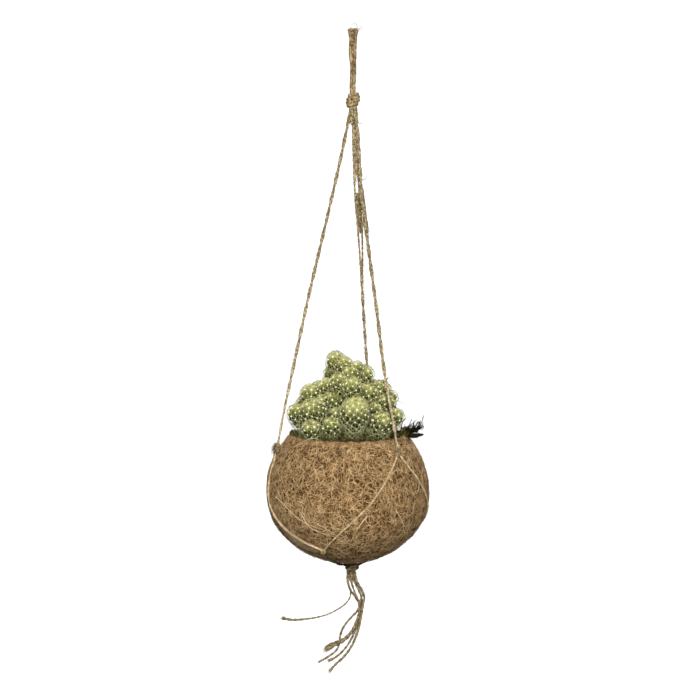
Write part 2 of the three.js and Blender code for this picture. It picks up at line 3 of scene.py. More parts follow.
import bpy
import numpy as np
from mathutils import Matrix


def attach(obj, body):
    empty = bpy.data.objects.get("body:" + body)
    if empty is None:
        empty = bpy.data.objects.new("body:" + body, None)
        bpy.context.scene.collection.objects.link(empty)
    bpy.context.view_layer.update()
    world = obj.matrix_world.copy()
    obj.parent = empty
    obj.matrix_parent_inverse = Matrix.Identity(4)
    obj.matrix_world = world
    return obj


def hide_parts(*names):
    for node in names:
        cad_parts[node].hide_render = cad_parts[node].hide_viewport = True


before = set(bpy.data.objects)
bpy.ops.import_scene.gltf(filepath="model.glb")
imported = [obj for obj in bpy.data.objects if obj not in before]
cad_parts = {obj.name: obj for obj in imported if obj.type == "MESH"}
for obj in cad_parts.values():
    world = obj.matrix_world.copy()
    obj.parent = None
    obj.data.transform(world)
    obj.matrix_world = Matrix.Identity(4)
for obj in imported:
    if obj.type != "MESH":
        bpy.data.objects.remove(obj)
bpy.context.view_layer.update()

# The eye stands level, two metres in front of the planter and a little above the rim of the ball, so
# that the rim shows as a flat ellipse. The lens is shifted down to the middle of the planter.
EYE_PLACE = (-0.0046, -2.0, -0.1126)
SEEN_MIDDLE = -0.2963
SEEN_WIDTH = 0.6445
lens = bpy.data.cameras.new("eye")
lens.sensor_width = 36.0
lens.lens = -36.0 * EYE_PLACE[1] / SEEN_WIDTH
lens.shift_y = (SEEN_MIDDLE - EYE_PLACE[2]) / SEEN_WIDTH
eye = bpy.data.objects.new("eye", lens)
eye.location = EYE_PLACE
eye.rotation_euler = (math.pi / 2, 0.0, 0.0)
bpy.context.scene.collection.objects.link(eye)
bpy.context.scene.camera = eye


# The tails are five loose ends of jute twine under the bottom knot, two plies twisted together.
# Each is cut bare and falls in its own curve; some have opened out at the tip. Lengths here and
# below are in millimetres until a mesh is built.
tail_routes = {
    "sweeping_left": [
        (-4.4, 2.6, -502.8), (-4.8, 2.8, -511), (-3.8, 2.7, -517.6), (-2.2, 2.4, -523.2),
        (-3.2, 1.7, -528.4), (-7.4, 0.6, -533.6), (-15, -0.6, -538.6), (-24, -1.4, -542.8),
        (-34, -1.8, -545.4), (-44.4, -2, -546.9), (-56, -2, -547.6), (-65.4, -2, -546),
    ],
    "looped": [
        (-1.8, -2.6, -503.25), (-1.2, -2.9, -513), (1.2, -3.2, -520.6), (4, -3.6, -527.2),
        (5.8, -3.9, -533), (4, -4, -538.8), (-0.6, -3.9, -543.8), (-5.8, -3.7, -549.6),
        (-9.8, -3.4, -556), (-11.8, -3.2, -562), (-12.6, -3, -569), (-15.4, -2.6, -575.6),
        (-23.6, -2.4, -582), (-32.2, -2.2, -586.8),
    ],
    "frayed": [
        (-4.6, -0.2, -503.05), (-4.9, -0.2, -512), (-2.6, -0.2, -519.6), (1.6, -0.1, -526),
        (5.2, 0.2, -532), (6, 0.3, -538), (5, 0, -544), (2.8, -0.4, -550.4),
        (-0.4, -0.6, -557.4), (-5, -0.4, -563.4), (-11.6, -0.2, -568.2), (-18.4, -0.2, -571),
        (-24, -0.2, -574.6),
    ],
    "middle": [
        (0.2, 1, -503.5), (1.6, 1.3, -513), (5, 1.9, -520.4), (7.6, 2.6, -527),
        (8, 3, -533.6), (7, 2.9, -541), (5.2, 2.5, -549), (2, 2, -558),
        (-2.6, 1.6, -568), (-9.6, 1.6, -577.4), (-17.4, 1.6, -583.8), (-22.8, 1.6, -586.2),
    ],
    "lowest": [
        (1.4, -1.6, -503.1), (3.8, -1.6, -512.6), (8.2, -1.5, -519.8), (10.4, -1.6, -526.6),
        (9.4, -1.8, -533.4), (8.2, -1.8, -541), (6.2, -1.6, -551), (3.2, -1.3, -562),
        (-1.8, -1.2, -573), (-8.6, -1.2, -582), (-16.2, -1.2, -589), (-21.6, -1.2, -595.2),
    ],
}
# Radius along each, as (share of its length, radius), and how many fibres stand out at its tip
tail_swells = {
    "sweeping_left": ([(0, 1.1), (0.3, 0.75), (0.65, 0.7), (0.85, 1.15), (1, 1.45)], 35),
    "looped": ([(0, 1.35), (0.24, 0.95), (0.5, 1.1), (1, 0.95)], 10),
    "frayed": ([(0, 1.4), (0.32, 1.0), (0.7, 1.5), (0.8, 1.9), (0.9, 2.8), (1, 2.75)], 240),
    "middle": ([(0, 1.4), (0.3, 0.95), (0.5, 1.15), (0.75, 1.0), (0.94, 1.0), (1, 1.5)], 30),
    "lowest": ([(0, 1.5), (0.28, 1.0), (0.5, 1.25), (0.8, 1.15), (0.95, 1.2), (1, 1.6)], 60),
}

# A whole turn in radians, and a source of chance that gives the same numbers each time
TURN = 2 * math.pi
seeded = np.random.default_rng


def unit(vectors):
    return vectors / np.maximum(np.linalg.norm(vectors, axis=-1, keepdims=True), 1e-9)


def ahead_of(path):
    return unit(np.gradient(path, axis=-2))


def steps_of(path):
    return np.linalg.norm(np.diff(path, axis=0), axis=1)


def swung(turn, across, over):
    """Which way an angle points between two directions that stand at right angles"""
    return np.cos(turn)[..., None] * across + np.sin(turn)[..., None] * over


def evenly(path, count):
    run = np.concatenate([[0], np.cumsum(steps_of(path))])
    even = np.linspace(0, run[-1], count)
    return np.stack([np.interp(even, run, path[:, k]) for k in range(3)], axis=1)


def smooth(points, spacing=0.8):
    """Evenly spaced points on a smooth curve through the given ones"""
    ends = np.array(points, dtype=float)
    ends = np.vstack([2 * ends[0] - ends[1], ends, 2 * ends[-1] - ends[-2]])
    fine = [ends[1:2]]
    t = np.linspace(0, 1, 33)[1:, None]
    for p0, p1, p2, p3 in zip(ends, ends[1:], ends[2:], ends[3:]):
        d0, d1, d2 = (np.linalg.norm(b - a) ** 0.5 for a, b in ((p0, p1), (p1, p2), (p2, p3)))
        leave = ((p1 - p0) / d0 - (p2 - p0) / (d0 + d1) + (p2 - p1) / d1) * d1
        arrive = ((p2 - p1) / d1 - (p3 - p1) / (d1 + d2) + (p3 - p2) / d2) * d1
        near = (2 * t**3 - 3 * t**2 + 1) * p1 + (t**3 - 2 * t**2 + t) * leave
        far = (3 * t**2 - 2 * t**3) * p2 + (t**3 - t**2) * arrive
        fine.append(near + far)
    fine = np.vstack(fine)
    return evenly(fine, max(int(round(steps_of(fine).sum() / spacing)), 2) + 1)


def built(name, points, quads, triangles=(), shades=None):
    """An object from points in millimetres and faces. shades is one number a point, for its colour."""
    quads = np.asarray(quads, dtype=np.int32).reshape(-1, 4)
    triangles = np.asarray(triangles, dtype=np.int32).reshape(-1, 3)
    corners = np.concatenate([quads.ravel(), triangles.ravel()])
    starts = [np.arange(len(quads)) * 4, len(quads) * 4 + np.arange(len(triangles)) * 3]
    mesh = bpy.data.meshes.new(name)
    mesh.vertices.add(len(points))
    mesh.vertices.foreach_set("co", np.ravel(points) * 0.001)
    mesh.loops.add(len(corners))
    mesh.loops.foreach_set("vertex_index", corners)
    mesh.polygons.add(len(quads) + len(triangles))
    mesh.polygons.foreach_set("loop_start", np.concatenate(starts).astype(np.int32))
    mesh.update(calc_edges=True)
    mesh.polygons.foreach_set("use_smooth", np.ones(len(mesh.polygons), dtype=bool))
    if shades is not None:
        mesh.attributes.new("shade", "FLOAT", "POINT").data.foreach_set("value", np.ravel(shades))
    piece = bpy.data.objects.new(name, mesh)
    bpy.context.scene.collection.objects.link(piece)
    return piece


def placed_as(piece, finish, slot, *nodes):
    """Gives a piece its material, hangs it from the root and hides the solids it stands for. slot is not
    used.
    """
    piece.data.materials.append(finish)
    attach(piece, "root")
    if nodes:
        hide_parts(*nodes)
    return piece


def sides_of(path):
    """Two directions across a path at every point, which turn with it as little as they can"""
    ahead = ahead_of(path)
    across = np.zeros_like(path)
    across[0] = unit(np.cross(ahead[0], (0.3, 1.0, 0.2)))
    for i in range(1, len(path)):
        across[i] = unit(across[i - 1] - ahead[i] * np.dot(across[i - 1], ahead[i]))
    return across, np.cross(ahead, across)


def wall(rings, around):
    """The corners of the faces between rings of points, one ring after another"""
    i = np.arange(rings - 1)[:, None] * around
    j = np.arange(around)
    k = (j + 1) % around
    return np.stack([i + j, i + k, i + around + k, i + around + j], axis=-1).reshape(-1, 4)


def tubes(name, lines, sides=6, paler=None):
    """One object of closed tubes, each a path and its radius at every point. paler is two rows, levels
    and how pale the tubes are there."""
    points = []
    quads = []
    caps = []
    start = 0
    turn = np.arange(sides) * TURN / sides
    j = np.arange(sides)
    k = (j + 1) % sides
    for path, radii in lines:
        across, over = sides_of(path)
        ring = path[:, None] + radii[:, None, None] * swung(turn, across[:, None], over[:, None])
        quads.append(start + wall(len(path), sides))
        points += [ring.reshape(-1, 3), path[[0, -1]]]
        last = start + (len(path) - 1) * sides
        middle = start + len(path) * sides
        caps.append(np.stack([np.full(sides, middle), start + k, start + j], axis=-1))
        caps.append(np.stack([np.full(sides, middle + 1), last + j, last + k], axis=-1))
        start = middle + 2
    points = np.vstack(points)
    shades = None if paler is None else np.interp(points[:, 2], *paler)
    return built(name, points, np.vstack(quads), np.vstack(caps), shades)


def of_twine(name, lines, finish, *nodes, paler=None):
    return placed_as(tubes(name, lines, paler=paler), finish, "twine", *nodes)


def plied(path, radius, pitch=11.0, phase=0.0):
    """Two plies wound round each other along a path"""
    across, over = sides_of(path)
    radius = np.broadcast_to(radius, len(path))
    lines = []
    for ply in range(2):
        wind = phase + ply * math.pi + TURN * steps_of(path).mean() * np.arange(len(path)) / pitch
        uneven = 1 + 0.08 * np.sin(wind * 0.37 + 5 * ply) + 0.06 * np.sin(wind * 0.83 + phase)
        lines.append((path + 0.33 * radius[:, None] * swung(wind, across, over), 0.73 * radius * uneven))
    return lines


def bowed(starts, middles, ends, count):
    """Curves of count points that leave their starts towards their middles and come to their ends"""
    t = np.linspace(0, 1, count)[None, :, None]
    first, second, third = starts[:, None], middles[:, None], ends[:, None]
    return (1 - t) ** 2 * first + 2 * t * (1 - t) * second + t**2 * third


OWN_LIGHT = 0.32
SHARED_LIGHT = 0.68


def hairs(name, curves, radii, seed, shades=None, tip=0.3, lying_on=None):
    """One object of thin three-sided hairs. curves holds the points of each, radii its thickness.
    lying_on is which way is out of the body they lie flat on, whose light and shade they share."""
    total, count, _ = curves.shape
    chance = seeded(seed)
    ahead = ahead_of(curves)
    across = unit(np.cross(ahead, chance.normal(size=(total, 1, 3))))
    over = np.cross(ahead, across)
    wide = radii[:, None] * np.linspace(1, tip, count)
    out = swung(np.arange(3) * TURN / 3, across[:, :, None], over[:, :, None])
    ring = curves[:, :, None] + wide[:, :, None, None] * out
    quads = np.arange(total)[:, None, None] * count * 3 + wall(count, 3)
    if shades is None:
        shades = chance.random(total)
    piece = built(name, ring.reshape(-1, 3), quads, shades=np.repeat(shades, count * 3))
    if lying_on is not None:
        facing = unit(out * OWN_LIGHT + lying_on[:, :, None] * SHARED_LIGHT)
        piece.data.normals_split_custom_set_from_vertices(facing.reshape(-1, 3))
    return piece


def linear(colour):
    """A colour as the eye reads it, from 0 to 255, in the light values that a shader takes"""
    share = np.array(colour) / 255
    value = np.where(share > 0.04045, ((share + 0.055) / 1.055) ** 2.4, share / 12.92)
    return (*value.tolist(), 1.0)


def fed(node, inputs):
    """A shader node whose inputs are set to values, or joined to other nodes' outputs"""
    for name, value in inputs.items():
        if isinstance(value, bpy.types.NodeSocket):
            node.id_data.links.new(value, node.inputs[name])
        else:
            node.inputs[name].default_value = value
    return node


def dyed(name, colours, grain, by_shade=0.0, roughness=0.85, gloss=0.1, relief=0.0):
    """A material that wanders between colours in patches of a grain in millimetres. by_shade is how
    much of the choice each hair or point makes for itself."""
    finish = bpy.data.materials.new(name)
    finish.use_nodes = True
    nodes = finish.node_tree.nodes
    shader = fed(nodes["Principled BSDF"], {"Roughness": roughness, "Specular IOR Level": gloss})
    where = nodes.new("ShaderNodeTexCoord").outputs["Object"]
    patches = {"Vector": where, "Scale": 1000 / grain, "Detail": 5.0, "Roughness": 0.6}
    cloud = fed(nodes.new("ShaderNodeTexNoise"), patches).outputs["Fac"]
    spread = fed(nodes.new("ShaderNodeMapRange"), {"Value": cloud, "From Min": 0.3, "From Max": 0.7})
    choice = spread.outputs["Result"]
    if by_shade:
        own = nodes.new("ShaderNodeAttribute")
        own.attribute_name = "shade"
        both = {"Factor": by_shade, "A": choice, "B": own.outputs["Fac"]}
        choice = fed(nodes.new("ShaderNodeMix"), both).outputs["Result"]
    ramp = fed(nodes.new("ShaderNodeValToRGB"), {"Fac": choice})
    stops = ramp.color_ramp.elements
    while len(stops) < len(colours):
        stops.new(0.5)
    for i, colour in enumerate(colours):
        stops[i].position = i / (len(colours) - 1)
        stops[i].color = linear(colour)
    fed(shader, {"Base Color": ramp.outputs["Color"]})
    if relief:
        rise = {"Strength": 0.8, "Distance": relief * 0.001, "Height": cloud}
        fed(shader, {"Normal": fed(nodes.new("ShaderNodeBump"), rise).outputs["Normal"]})
    return finish


twine_hair = dyed("jute_hair", [(128, 112, 82), (186, 170, 134)], 5, by_shade=0.7)


def fuzz(path, radius, per_mm, seed, long=3.0):
    """Roots, middles and tips of stray hairs that stand off a twine"""
    chance = seeded(seed)
    across, over = sides_of(path)
    count = int(steps_of(path).sum() * per_mm)
    at = chance.integers(0, len(path), count)
    out = swung(chance.random(count) * TURN, across[at], over[at])
    reach = long * chance.uniform(0.3, 1.0, count)[:, None]
    along = ahead_of(path)[at] * chance.choice([-1.0, 1.0], count)[:, None]
    root = path[at] + out * radius * 0.7
    middle = root + along * reach * 0.55 + out * reach * 0.15
    tip = root + along * reach * 0.8 + out * reach * chance.uniform(0.1, 0.6, count)[:, None]
    return root, middle, tip + chance.normal(size=(count, 3)) * 0.2 * reach


def opened(path, count, width, long, seed):
    """The fibres of a twine that has come apart at its end"""
    chance = seeded(seed)
    ahead = unit(path[-1] - path[-4])
    root = path[-1] + chance.normal(size=(count, 3)) * width * 0.4 - ahead * 2
    reach = long * chance.uniform(0.5, 1.0, count)[:, None]
    spread = chance.normal(size=(count, 3)) * 0.2 + (root - path[-1]) / width * 0.2
    middle = root + (ahead + spread) * reach * 0.5
    return root, middle, root + (ahead + spread * 1.3) * reach


tail_paths = {name: smooth(route, 0.7) for name, route in tail_routes.items()}


def shared_wisps(names, high, low, count, seed, twines=tail_paths, loose=0.25):
    """Fibres that hold neighbouring twines together between two heights"""
    chance = seeded(seed)
    paths = []
    for _ in range(count):
        pair = chance.choice(names, 2, replace=False)
        ends = np.sort(chance.uniform(low, high, 2))[::-1]
        level = np.linspace(ends[0], ends[1] - 4, 8)
        blend = np.linspace(*chance.uniform(0.05, 0.95, 2), 8)[:, None]
        both = []
        for name in pair:
            path = twines[name][::-1]
            both.append(np.stack([np.interp(level, path[:, 2], path[:, k]) for k in (0, 1)], axis=1))
        flat = both[0] * (1 - blend) + both[1] * blend + chance.normal(0, loose, 2)
        paths.append(np.hstack([flat, level[:, None]]))
    return np.array(paths)


wisps = [
    shared_wisps(["sweeping_left", "looped", "frayed", "middle", "lowest"], -501, -509, 110, 1),
    shared_wisps(["middle", "lowest"], -508, -524, 26, 2),
    shared_wisps(["looped", "frayed", "middle", "lowest"], -528, -535, 40, 3),
    shared_wisps(["frayed", "middle", "lowest"], -535, -554, 60, 4),
]
wisps = np.concatenate(wisps)
thick = seeded(5).uniform(0.2, 0.42, len(wisps))
tail_twine = dyed("jute_tail", [(50, 41, 27), (116, 102, 76), (168, 152, 121)], 2.2, relief=0.6)
tail_wisps = placed_as(hairs("tail_wisps", wisps, thick, 6, tip=0.5), tail_twine, "twine")
for number, (name, path) in enumerate(tail_paths.items()):
    swell, opened_count = tail_swells[name]
    share, radius = np.array(swell).T
    radius = np.interp(np.linspace(0, 1, len(path)), share, radius)
    lines = plied(path, radius, phase=number * 1.3)
    tail = of_twine(f"tail_{name}", lines, tail_twine, f"twine_tail_{name}")
    strays = [fuzz(path, radius.mean(), 0.6, 50 + number)]
    strays.append(opened(path, opened_count, radius[-1], 5, 70 + number))
    root, middle, tip = (np.vstack(part) for part in zip(*strays))
    thick = seeded(number).uniform(0.08, 0.2, len(root))
    loose = hairs(f"tail_hairs_{name}", bowed(root, middle, tip, 4), thick, 60 + number)
    placed_as(loose, twine_hair, "twine")

# The planter is a hollow ball of coconut fibre, pressed and matted over a mould and open at the top.
# Its wall is a felt, coloured dark as painted shade, under curly pale and brown fibres that lie in every
# direction.
BALL_CENTRE = np.array((-4.6, 0.0, -430.0))
BALL_RADIUS = 74.5
BALL_UP = 78.0
BALL_DOWN = 63.5
BALL_WALL = 7.0
BALL_LUMP = 0.6
RIM_LATITUDE = 44.0


def tall(over_middle):
    """The ball's upright half, above its middle or below it"""
    return np.where(over_middle > 0, BALL_UP, BALL_DOWN)


def polar(reach, turn, high):
    """Points at a reach from the upright axis, a turn round it and a height"""
    return np.stack([reach * np.cos(turn), reach * np.sin(turn), high + 0 * turn], axis=-1)


def ball_at(angle, latitude, height):
    """Points over the ball, at an angle round it and a latitude in degrees"""
    rise = np.radians(latitude)
    half = tall(np.asarray(latitude))
    out = np.cos(rise) / BALL_RADIUS
    up = np.sin(rise) / half
    size = np.hypot(out, up)
    reach = BALL_RADIUS * np.cos(rise) + height * out / size
    return BALL_CENTRE + polar(reach, np.radians(angle), half * np.sin(rise) + height * up / size)


def lump(turn, rise):
    wide = np.sin(5 * turn + 4 * rise) * np.cos(3 * turn - 5 * rise)
    return BALL_LUMP * np.cos(rise) * (0.6 * wide + 0.4 * np.sin(9 * turn - 7 * rise + 1))


def onto_ball(points, height):
    """The same points laid on the ball at a height over its lumps, and which way is out there"""
    offset = points - BALL_CENTRE
    axes = np.where([True, True, False], BALL_RADIUS, tall(offset[..., 2:]))
    scaled = unit(offset / axes)
    out = unit(scaled / axes)
    turn = np.arctan2(scaled[..., 1], scaled[..., 0])
    rise = np.arcsin(np.clip(scaled[..., 2], -1, 1))
    lift = (np.asarray(height) + lump(turn, rise))[..., None]
    return BALL_CENTRE + scaled * axes + out * lift, out


ball_around = 220
felt_rows = [(latitude, -1.0) for latitude in np.linspace(-90, 40, 96)]
felt_rows += [(42.0, -1.8), (43.4, -2.8), (43.8, -4.0), (43.0, -5.4), (41.0, -6.6)]
felt_rows += [(latitude, -BALL_WALL) for latitude in (36, 25, 10, -15, -40, -65, -90)]
latitude, height = np.array(felt_rows).T[..., None]
angle = np.arange(ball_around)[None, :] * 360 / ball_around
turn = np.radians(angle)
pits = np.sin(31 * turn + 9 * np.sin(latitude * 0.21))
pits = pits * np.sin(latitude * 0.93 + 7 * np.cos(5 * turn)) * 0.35
swell = lump(turn, np.radians(latitude)) + pits * np.cos(np.radians(latitude))
points = ball_at(angle, latitude + 0 * angle, height + swell)
# The felt is coloured near black: painted shade in the pits between the fibres.
coir_felt_painted_shade = dyed("coir_felt_painted_shade", [(26, 16, 5), (60, 42, 20), (104, 78, 46)], 2.6, roughness=0.95, relief=1.2)
felt = built("coir_felt_painted_shade", points.reshape(-1, 3), wall(len(felt_rows), ball_around))
placed_as(felt, coir_felt_painted_shade, "coir", "coir_shell")


def matted(count, shortest, longest, steps, curl, seed):
    """Fibres that lie over the ball, each bending its own way, with which way is out at each point"""
    chance = seeded(seed)
    high = chance.uniform(-1, math.sin(math.radians(RIM_LATITUDE - 1)), count)
    turn = chance.random(count) * TURN
    start = polar(np.sqrt(1 - high**2) * BALL_RADIUS, turn, high * tall(high))
    point, out = onto_ball(BALL_CENTRE + start, 0.0)
    heading = unit(np.cross(out, chance.normal(size=(count, 3))))
    stride = chance.uniform(shortest, longest, count)[:, None] / (steps - 1)
    bend = chance.normal(0, curl, count)
    rim = BALL_CENTRE[2] + BALL_UP * math.sin(math.radians(RIM_LATITUDE - 0.5))
    spots = []
    outs = []
    for _ in range(steps):
        spots.append(point)
        outs.append(out)
        angle = (bend + chance.normal(0, curl * 0.6, count)) * stride[:, 0]
        heading = swung(angle, heading, np.cross(out, heading))
        over = point[:, 2] > rim
        heading[over, 2] = -np.abs(heading[over, 2])
        point, out = onto_ball(point + heading * stride, 0.0)
        heading = unit(heading - out * np.sum(heading * out, axis=1, keepdims=True))
    return np.stack(spots, axis=1), np.stack(outs, axis=1), chance


def lifted(spots, outs, chance, low, high, loose, weave=0.0):
    """Fibres bulging off the felt between their ends, with a few loose tips, and each one's shade:
    those that lie higher are paler, as painted shade on those that lie lower"""
    total, steps, _ = spots.shape
    t = np.linspace(0, 1, steps)[None, :]
    share = chance.random(total)[:, None]
    bulge = low + (high - low) * share
    height = low - 0.6 + (bulge - low + 0.6) * np.sin(math.pi * (0.1 + 0.8 * t)) ** 0.6
    height = height + weave * np.sin(TURN * (chance.uniform(1, 2.4, total)[:, None] * t + share * 9))
    free = (chance.random(total) < loose)[:, None]
    rise = chance.uniform(0.6, 3.0, total)[:, None] * np.clip(t - 0.6, 0, 1) ** 1.4 * 3.4
    shade = np.clip(0.25 * share[:, 0] + 0.75 * chance.random(total), 0, 1)
    return spots + outs * (height + free * rise)[..., None], shade


coir_colours = [(46, 29, 12), (127, 97, 60), (198, 165, 119), (240, 214, 172)]
coir = dyed("coir_fibre", coir_colours, 5, by_shade=0.75, roughness=0.8)
# Each layer of the mat: how many fibres, how long, how high they lie and how thick they are
mat_layers = [
    (4450, 6, 16, -0.9, 0.0, 0.18, 0.34),
    (4450, 4, 12, -0.7, 0.3, 0.12, 0.24),
    (4450, 4, 12, -0.4, 0.7, 0.13, 0.26),
    (4450, 3, 10, 0.0, 1.1, 0.1, 0.21),
]
for layer, (count, shortest, longest, low, high, thin, thick) in enumerate(mat_layers):
    spots, outs, chance = matted(count, shortest, longest, 8, 0.08, 11 + layer)
    curves, shade = lifted(spots, outs, chance, low, high, 0.03, 0.5)
    # Each lower layer is darker: painted shade under the layers above it.
    shade = np.clip(0.12 * layer + 0.64 * shade, 0, 1)
    wide = chance.uniform(thin, thick, count)
    placed_as(hairs(f"coir_mat_{layer + 1}", curves, wide, 20 + layer, shade, 0.5, outs), coir, "coir")

# A few long fibres lie over the mat. The palest make wide arcs across the front, which are placed by
# where the eye sees them: their points are brought nearer to it until they lie on the ball.
LONG_FIBRES = 60
spots, outs, chance = matted(LONG_FIBRES, 30, 80, 24, 0.02, 31)
curves, shade = lifted(spots, outs, chance, 0.9, 1.4, 0.2)
arcs = [
    [(-70.4, -434), (-65, -439), (-57.9, -446.4), (-49.5, -453.6), (-43.5, -457.5), (-36.1, -461.1),
     (-25, -465)],
    [(-33.3, -458.4), (-25, -463), (-16, -468.5)],
    [(-47, -449), (-40, -461), (-26, -468), (-12, -471)],
    [(39, -446), (45, -457), (46, -466)],
    [(12, -452), (4, -463), (-2, -474)],
]
eye_x, eye_y, eye_z = np.array(EYE_PLACE) * 1000
for arc in arcs:
    seen = evenly(smooth([(x, 0, z) for x, z in arc]), 24)
    flat = seen.copy()
    for _ in range(3):
        offset = flat - BALL_CENTRE
        depth = 1 - (offset[:, 0] / BALL_RADIUS) ** 2 - (offset[:, 2] / tall(offset[:, 2])) ** 2
        flat[:, 1] = -BALL_RADIUS * np.sqrt(np.clip(depth, 0.001, 1))
        nearer = 1 - flat[:, 1:2] / eye_y
        flat[:, [0, 2]] = (eye_x, eye_z) + (seen[:, [0, 2]] - (eye_x, eye_z)) * nearer
    curves = np.concatenate([curves, onto_ball(flat, 1.5)[0][None]])
shade = 0.3 + 0.6 * np.concatenate([shade, np.full(len(arcs), 1.17)])
wide = np.where(np.arange(len(curves)) < LONG_FIBRES, 0.24, 0.32)
out = onto_ball(curves, 0.0)[1]
placed_as(hairs("coir_long_fibres", curves, wide, 32, shade, lying_on=out), coir, "coir")

# The rim of the ball is the same mat of coconut fibre, folded over into the opening. Its fibres run
# across the rim from outside to inside.
RIM_FIBRES = 1300
rim_middle = ball_at(0.0, 42.0, -3.5)
chance = seeded(41)
rim_turn = chance.random(RIM_FIBRES)[:, None] * TURN
drift = chance.normal(0, 0.16, RIM_FIBRES)[:, None]
share = np.linspace(0, 1, 8)[None, :]
first = chance.uniform(-0.9, 0.8, RIM_FIBRES)[:, None]
across_rim = first + share * chance.uniform(0.9, 2.6, RIM_FIBRES)[:, None]
rim_size = 3.3 + chance.uniform(-0.6, 0.6, RIM_FIBRES)[:, None]
turn = rim_turn + drift * share
reach = rim_middle[0] - BALL_CENTRE[0] + rim_size * np.cos(across_rim)
curves = polar(reach, turn, rim_middle[2] + rim_size * np.sin(across_rim) + lump(turn, 0.7))
curves[..., 0] += BALL_CENTRE[0]
wide = chance.uniform(0.2, 0.34, RIM_FIBRES)
out = polar(np.cos(across_rim), turn, np.sin(across_rim))
# The rim fibres take only the darker half of the coir colours: painted shade.
shade = 0.5 * chance.random(RIM_FIBRES)
placed_as(hairs("coir_rim_fibres", curves, wide, 42, shade, lying_on=out), coir, "coir")

# The ball is filled up to the rim with dark potting mix: damp fibre and crumbs of bark, poured in
# loose. It lies nearly level and falls away at the wall.
SOIL_TOP = -374.6
GAP = 0.35
SOIL_RINGS = 46
SOIL_AROUND = 120
CRUMBS = 1000
soil_edge = ball_at(0.0, 41.5, -BALL_WALL - GAP)
rim_inside = soil_edge[0] - BALL_CENTRE[0]
soil_reach = [0, 38, 45, rim_inside]
soil_levels = [SOIL_TOP - 0.4, SOIL_TOP - 0.6, SOIL_TOP - 2.6, soil_edge[2]]
out = np.linspace(0.02, 1, SOIL_RINGS)[:, None] * rim_inside
angle = np.arange(SOIL_AROUND)[None, :] * TURN / SOIL_AROUND
grit = np.sin(out * 1.9 + 3 * np.sin(angle * 7)) * np.sin(angle * 23 + out * 0.7)
grit = grit + 0.6 * np.sin(out * 3.7 - 5 * angle) * np.sin(angle * 41 - out)
points = polar(out, angle, np.interp(out, soil_reach, soil_levels) + 0.28 * grit).reshape(-1, 3)
points = np.vstack([points, [(0.0, 0.0, SOIL_TOP - 0.4)]]) + (BALL_CENTRE[0], 0.0, 0.0)
around = np.arange(SOIL_AROUND)
inner = np.stack([np.full(SOIL_AROUND, len(points) - 1), around, (around + 1) % SOIL_AROUND], axis=-1)
potting = dyed("potting_mix", [(22, 16, 9), (50, 40, 24), (96, 80, 52)], 2.4, roughness=0.95, relief=1.0)
soil = built("potting_mix", points, wall(SOIL_RINGS, SOIL_AROUND)[:, [0, 3, 2, 1]], inner)
placed_as(soil, potting, "soil", "soil_fill")
chance = seeded(51)
reach = np.sqrt(chance.random(CRUMBS)) * (rim_inside - 1.5)
turn = chance.random(CRUMBS) * TURN
start = polar(reach, turn, np.interp(reach, soil_reach, soil_levels) + 0.2) + (BALL_CENTRE[0], 0.0, 0.0)
way = unit(chance.normal(size=(CRUMBS, 3)) * (1, 1, 0.15)) * chance.uniform(1.5, 6, CRUMBS)[:, None]
curves = bowed(start - way / 2, start + (0, 0, 0.5), start + way / 2, 4)
bits = hairs("potting_crumbs", curves, chance.uniform(0.2, 0.8, CRUMBS), 52, tip=0.7)
placed_as(bits, potting, "soil")

# The planter hangs from a doubled bundle of twine that opens a little where the hook goes through,
# and runs down into a thick knot of four slanting coils.
CREST_FOOT = -8
loop_sides = [
    (1.3, -66), (1.6, -55), (1.7, -43), (1.9, -31), (2.4, -24), (2.5, -11), (2.7, -6), (3.4, -3.2),
    (3.9, -1.9),
]
# Each strand: how wide it stands, also at the crest, how far back, and how much lower its crest is
loop_strands = [
    (0.84, 1.0, -0.9, 0.0),
    (1.0, 1.0, 0.9, -0.2),
    (0.36, 0.6, 0.35, -0.9),
    (0.4, 0.4, 1.0, -2.2),
    (0.3, 0.3, 1.5, -3.7),
]
loop_lines = []
strays = []
for number, (spread, top_spread, depth, lower) in enumerate(loop_strands):
    left_side = []
    right_side = []
    for x, z in loop_sides:
        sway = 0.25 * math.sin(z / 6 + 2 * number)
        out = x * (top_spread if z > CREST_FOOT else spread)
        left_side.append((-out + sway, depth, z + lower * (z > -10)))
        right_side.append((out + sway, depth * 0.9, z + lower * (z > -10)))
    out = 2.6 * top_spread
    crest = [(-out, depth, -1.5 + lower), (0.0, depth, -1.4 + lower), (out, depth, -1.2 + lower)]
    path = smooth(left_side + crest + right_side[::-1], 0.7)
    loop_lines.append(plied(path, 1.25, pitch=60, phase=number * 2.1))
    strays.append(fuzz(path, 1.15, 0.7, 80 + number, 2.4))
loop_twine = dyed("jute_loop", [(50, 36, 19), (120, 100, 70), (186, 166, 132)], 3.4, relief=0.8)
# The strands behind take a darker copy of the loop's jute: painted shade on the strands that lie behind.
core_twine_shaded = dyed("jute_core_shaded", [(42, 31, 17), (104, 84, 57), (164, 141, 105)], 2.6, relief=0.8)
of_twine("hanging_loop_strands", sum(loop_lines[:2], []), loop_twine, "hanging_loop")
of_twine("hanging_loop_core", sum(loop_lines[2:], []), core_twine_shaded)


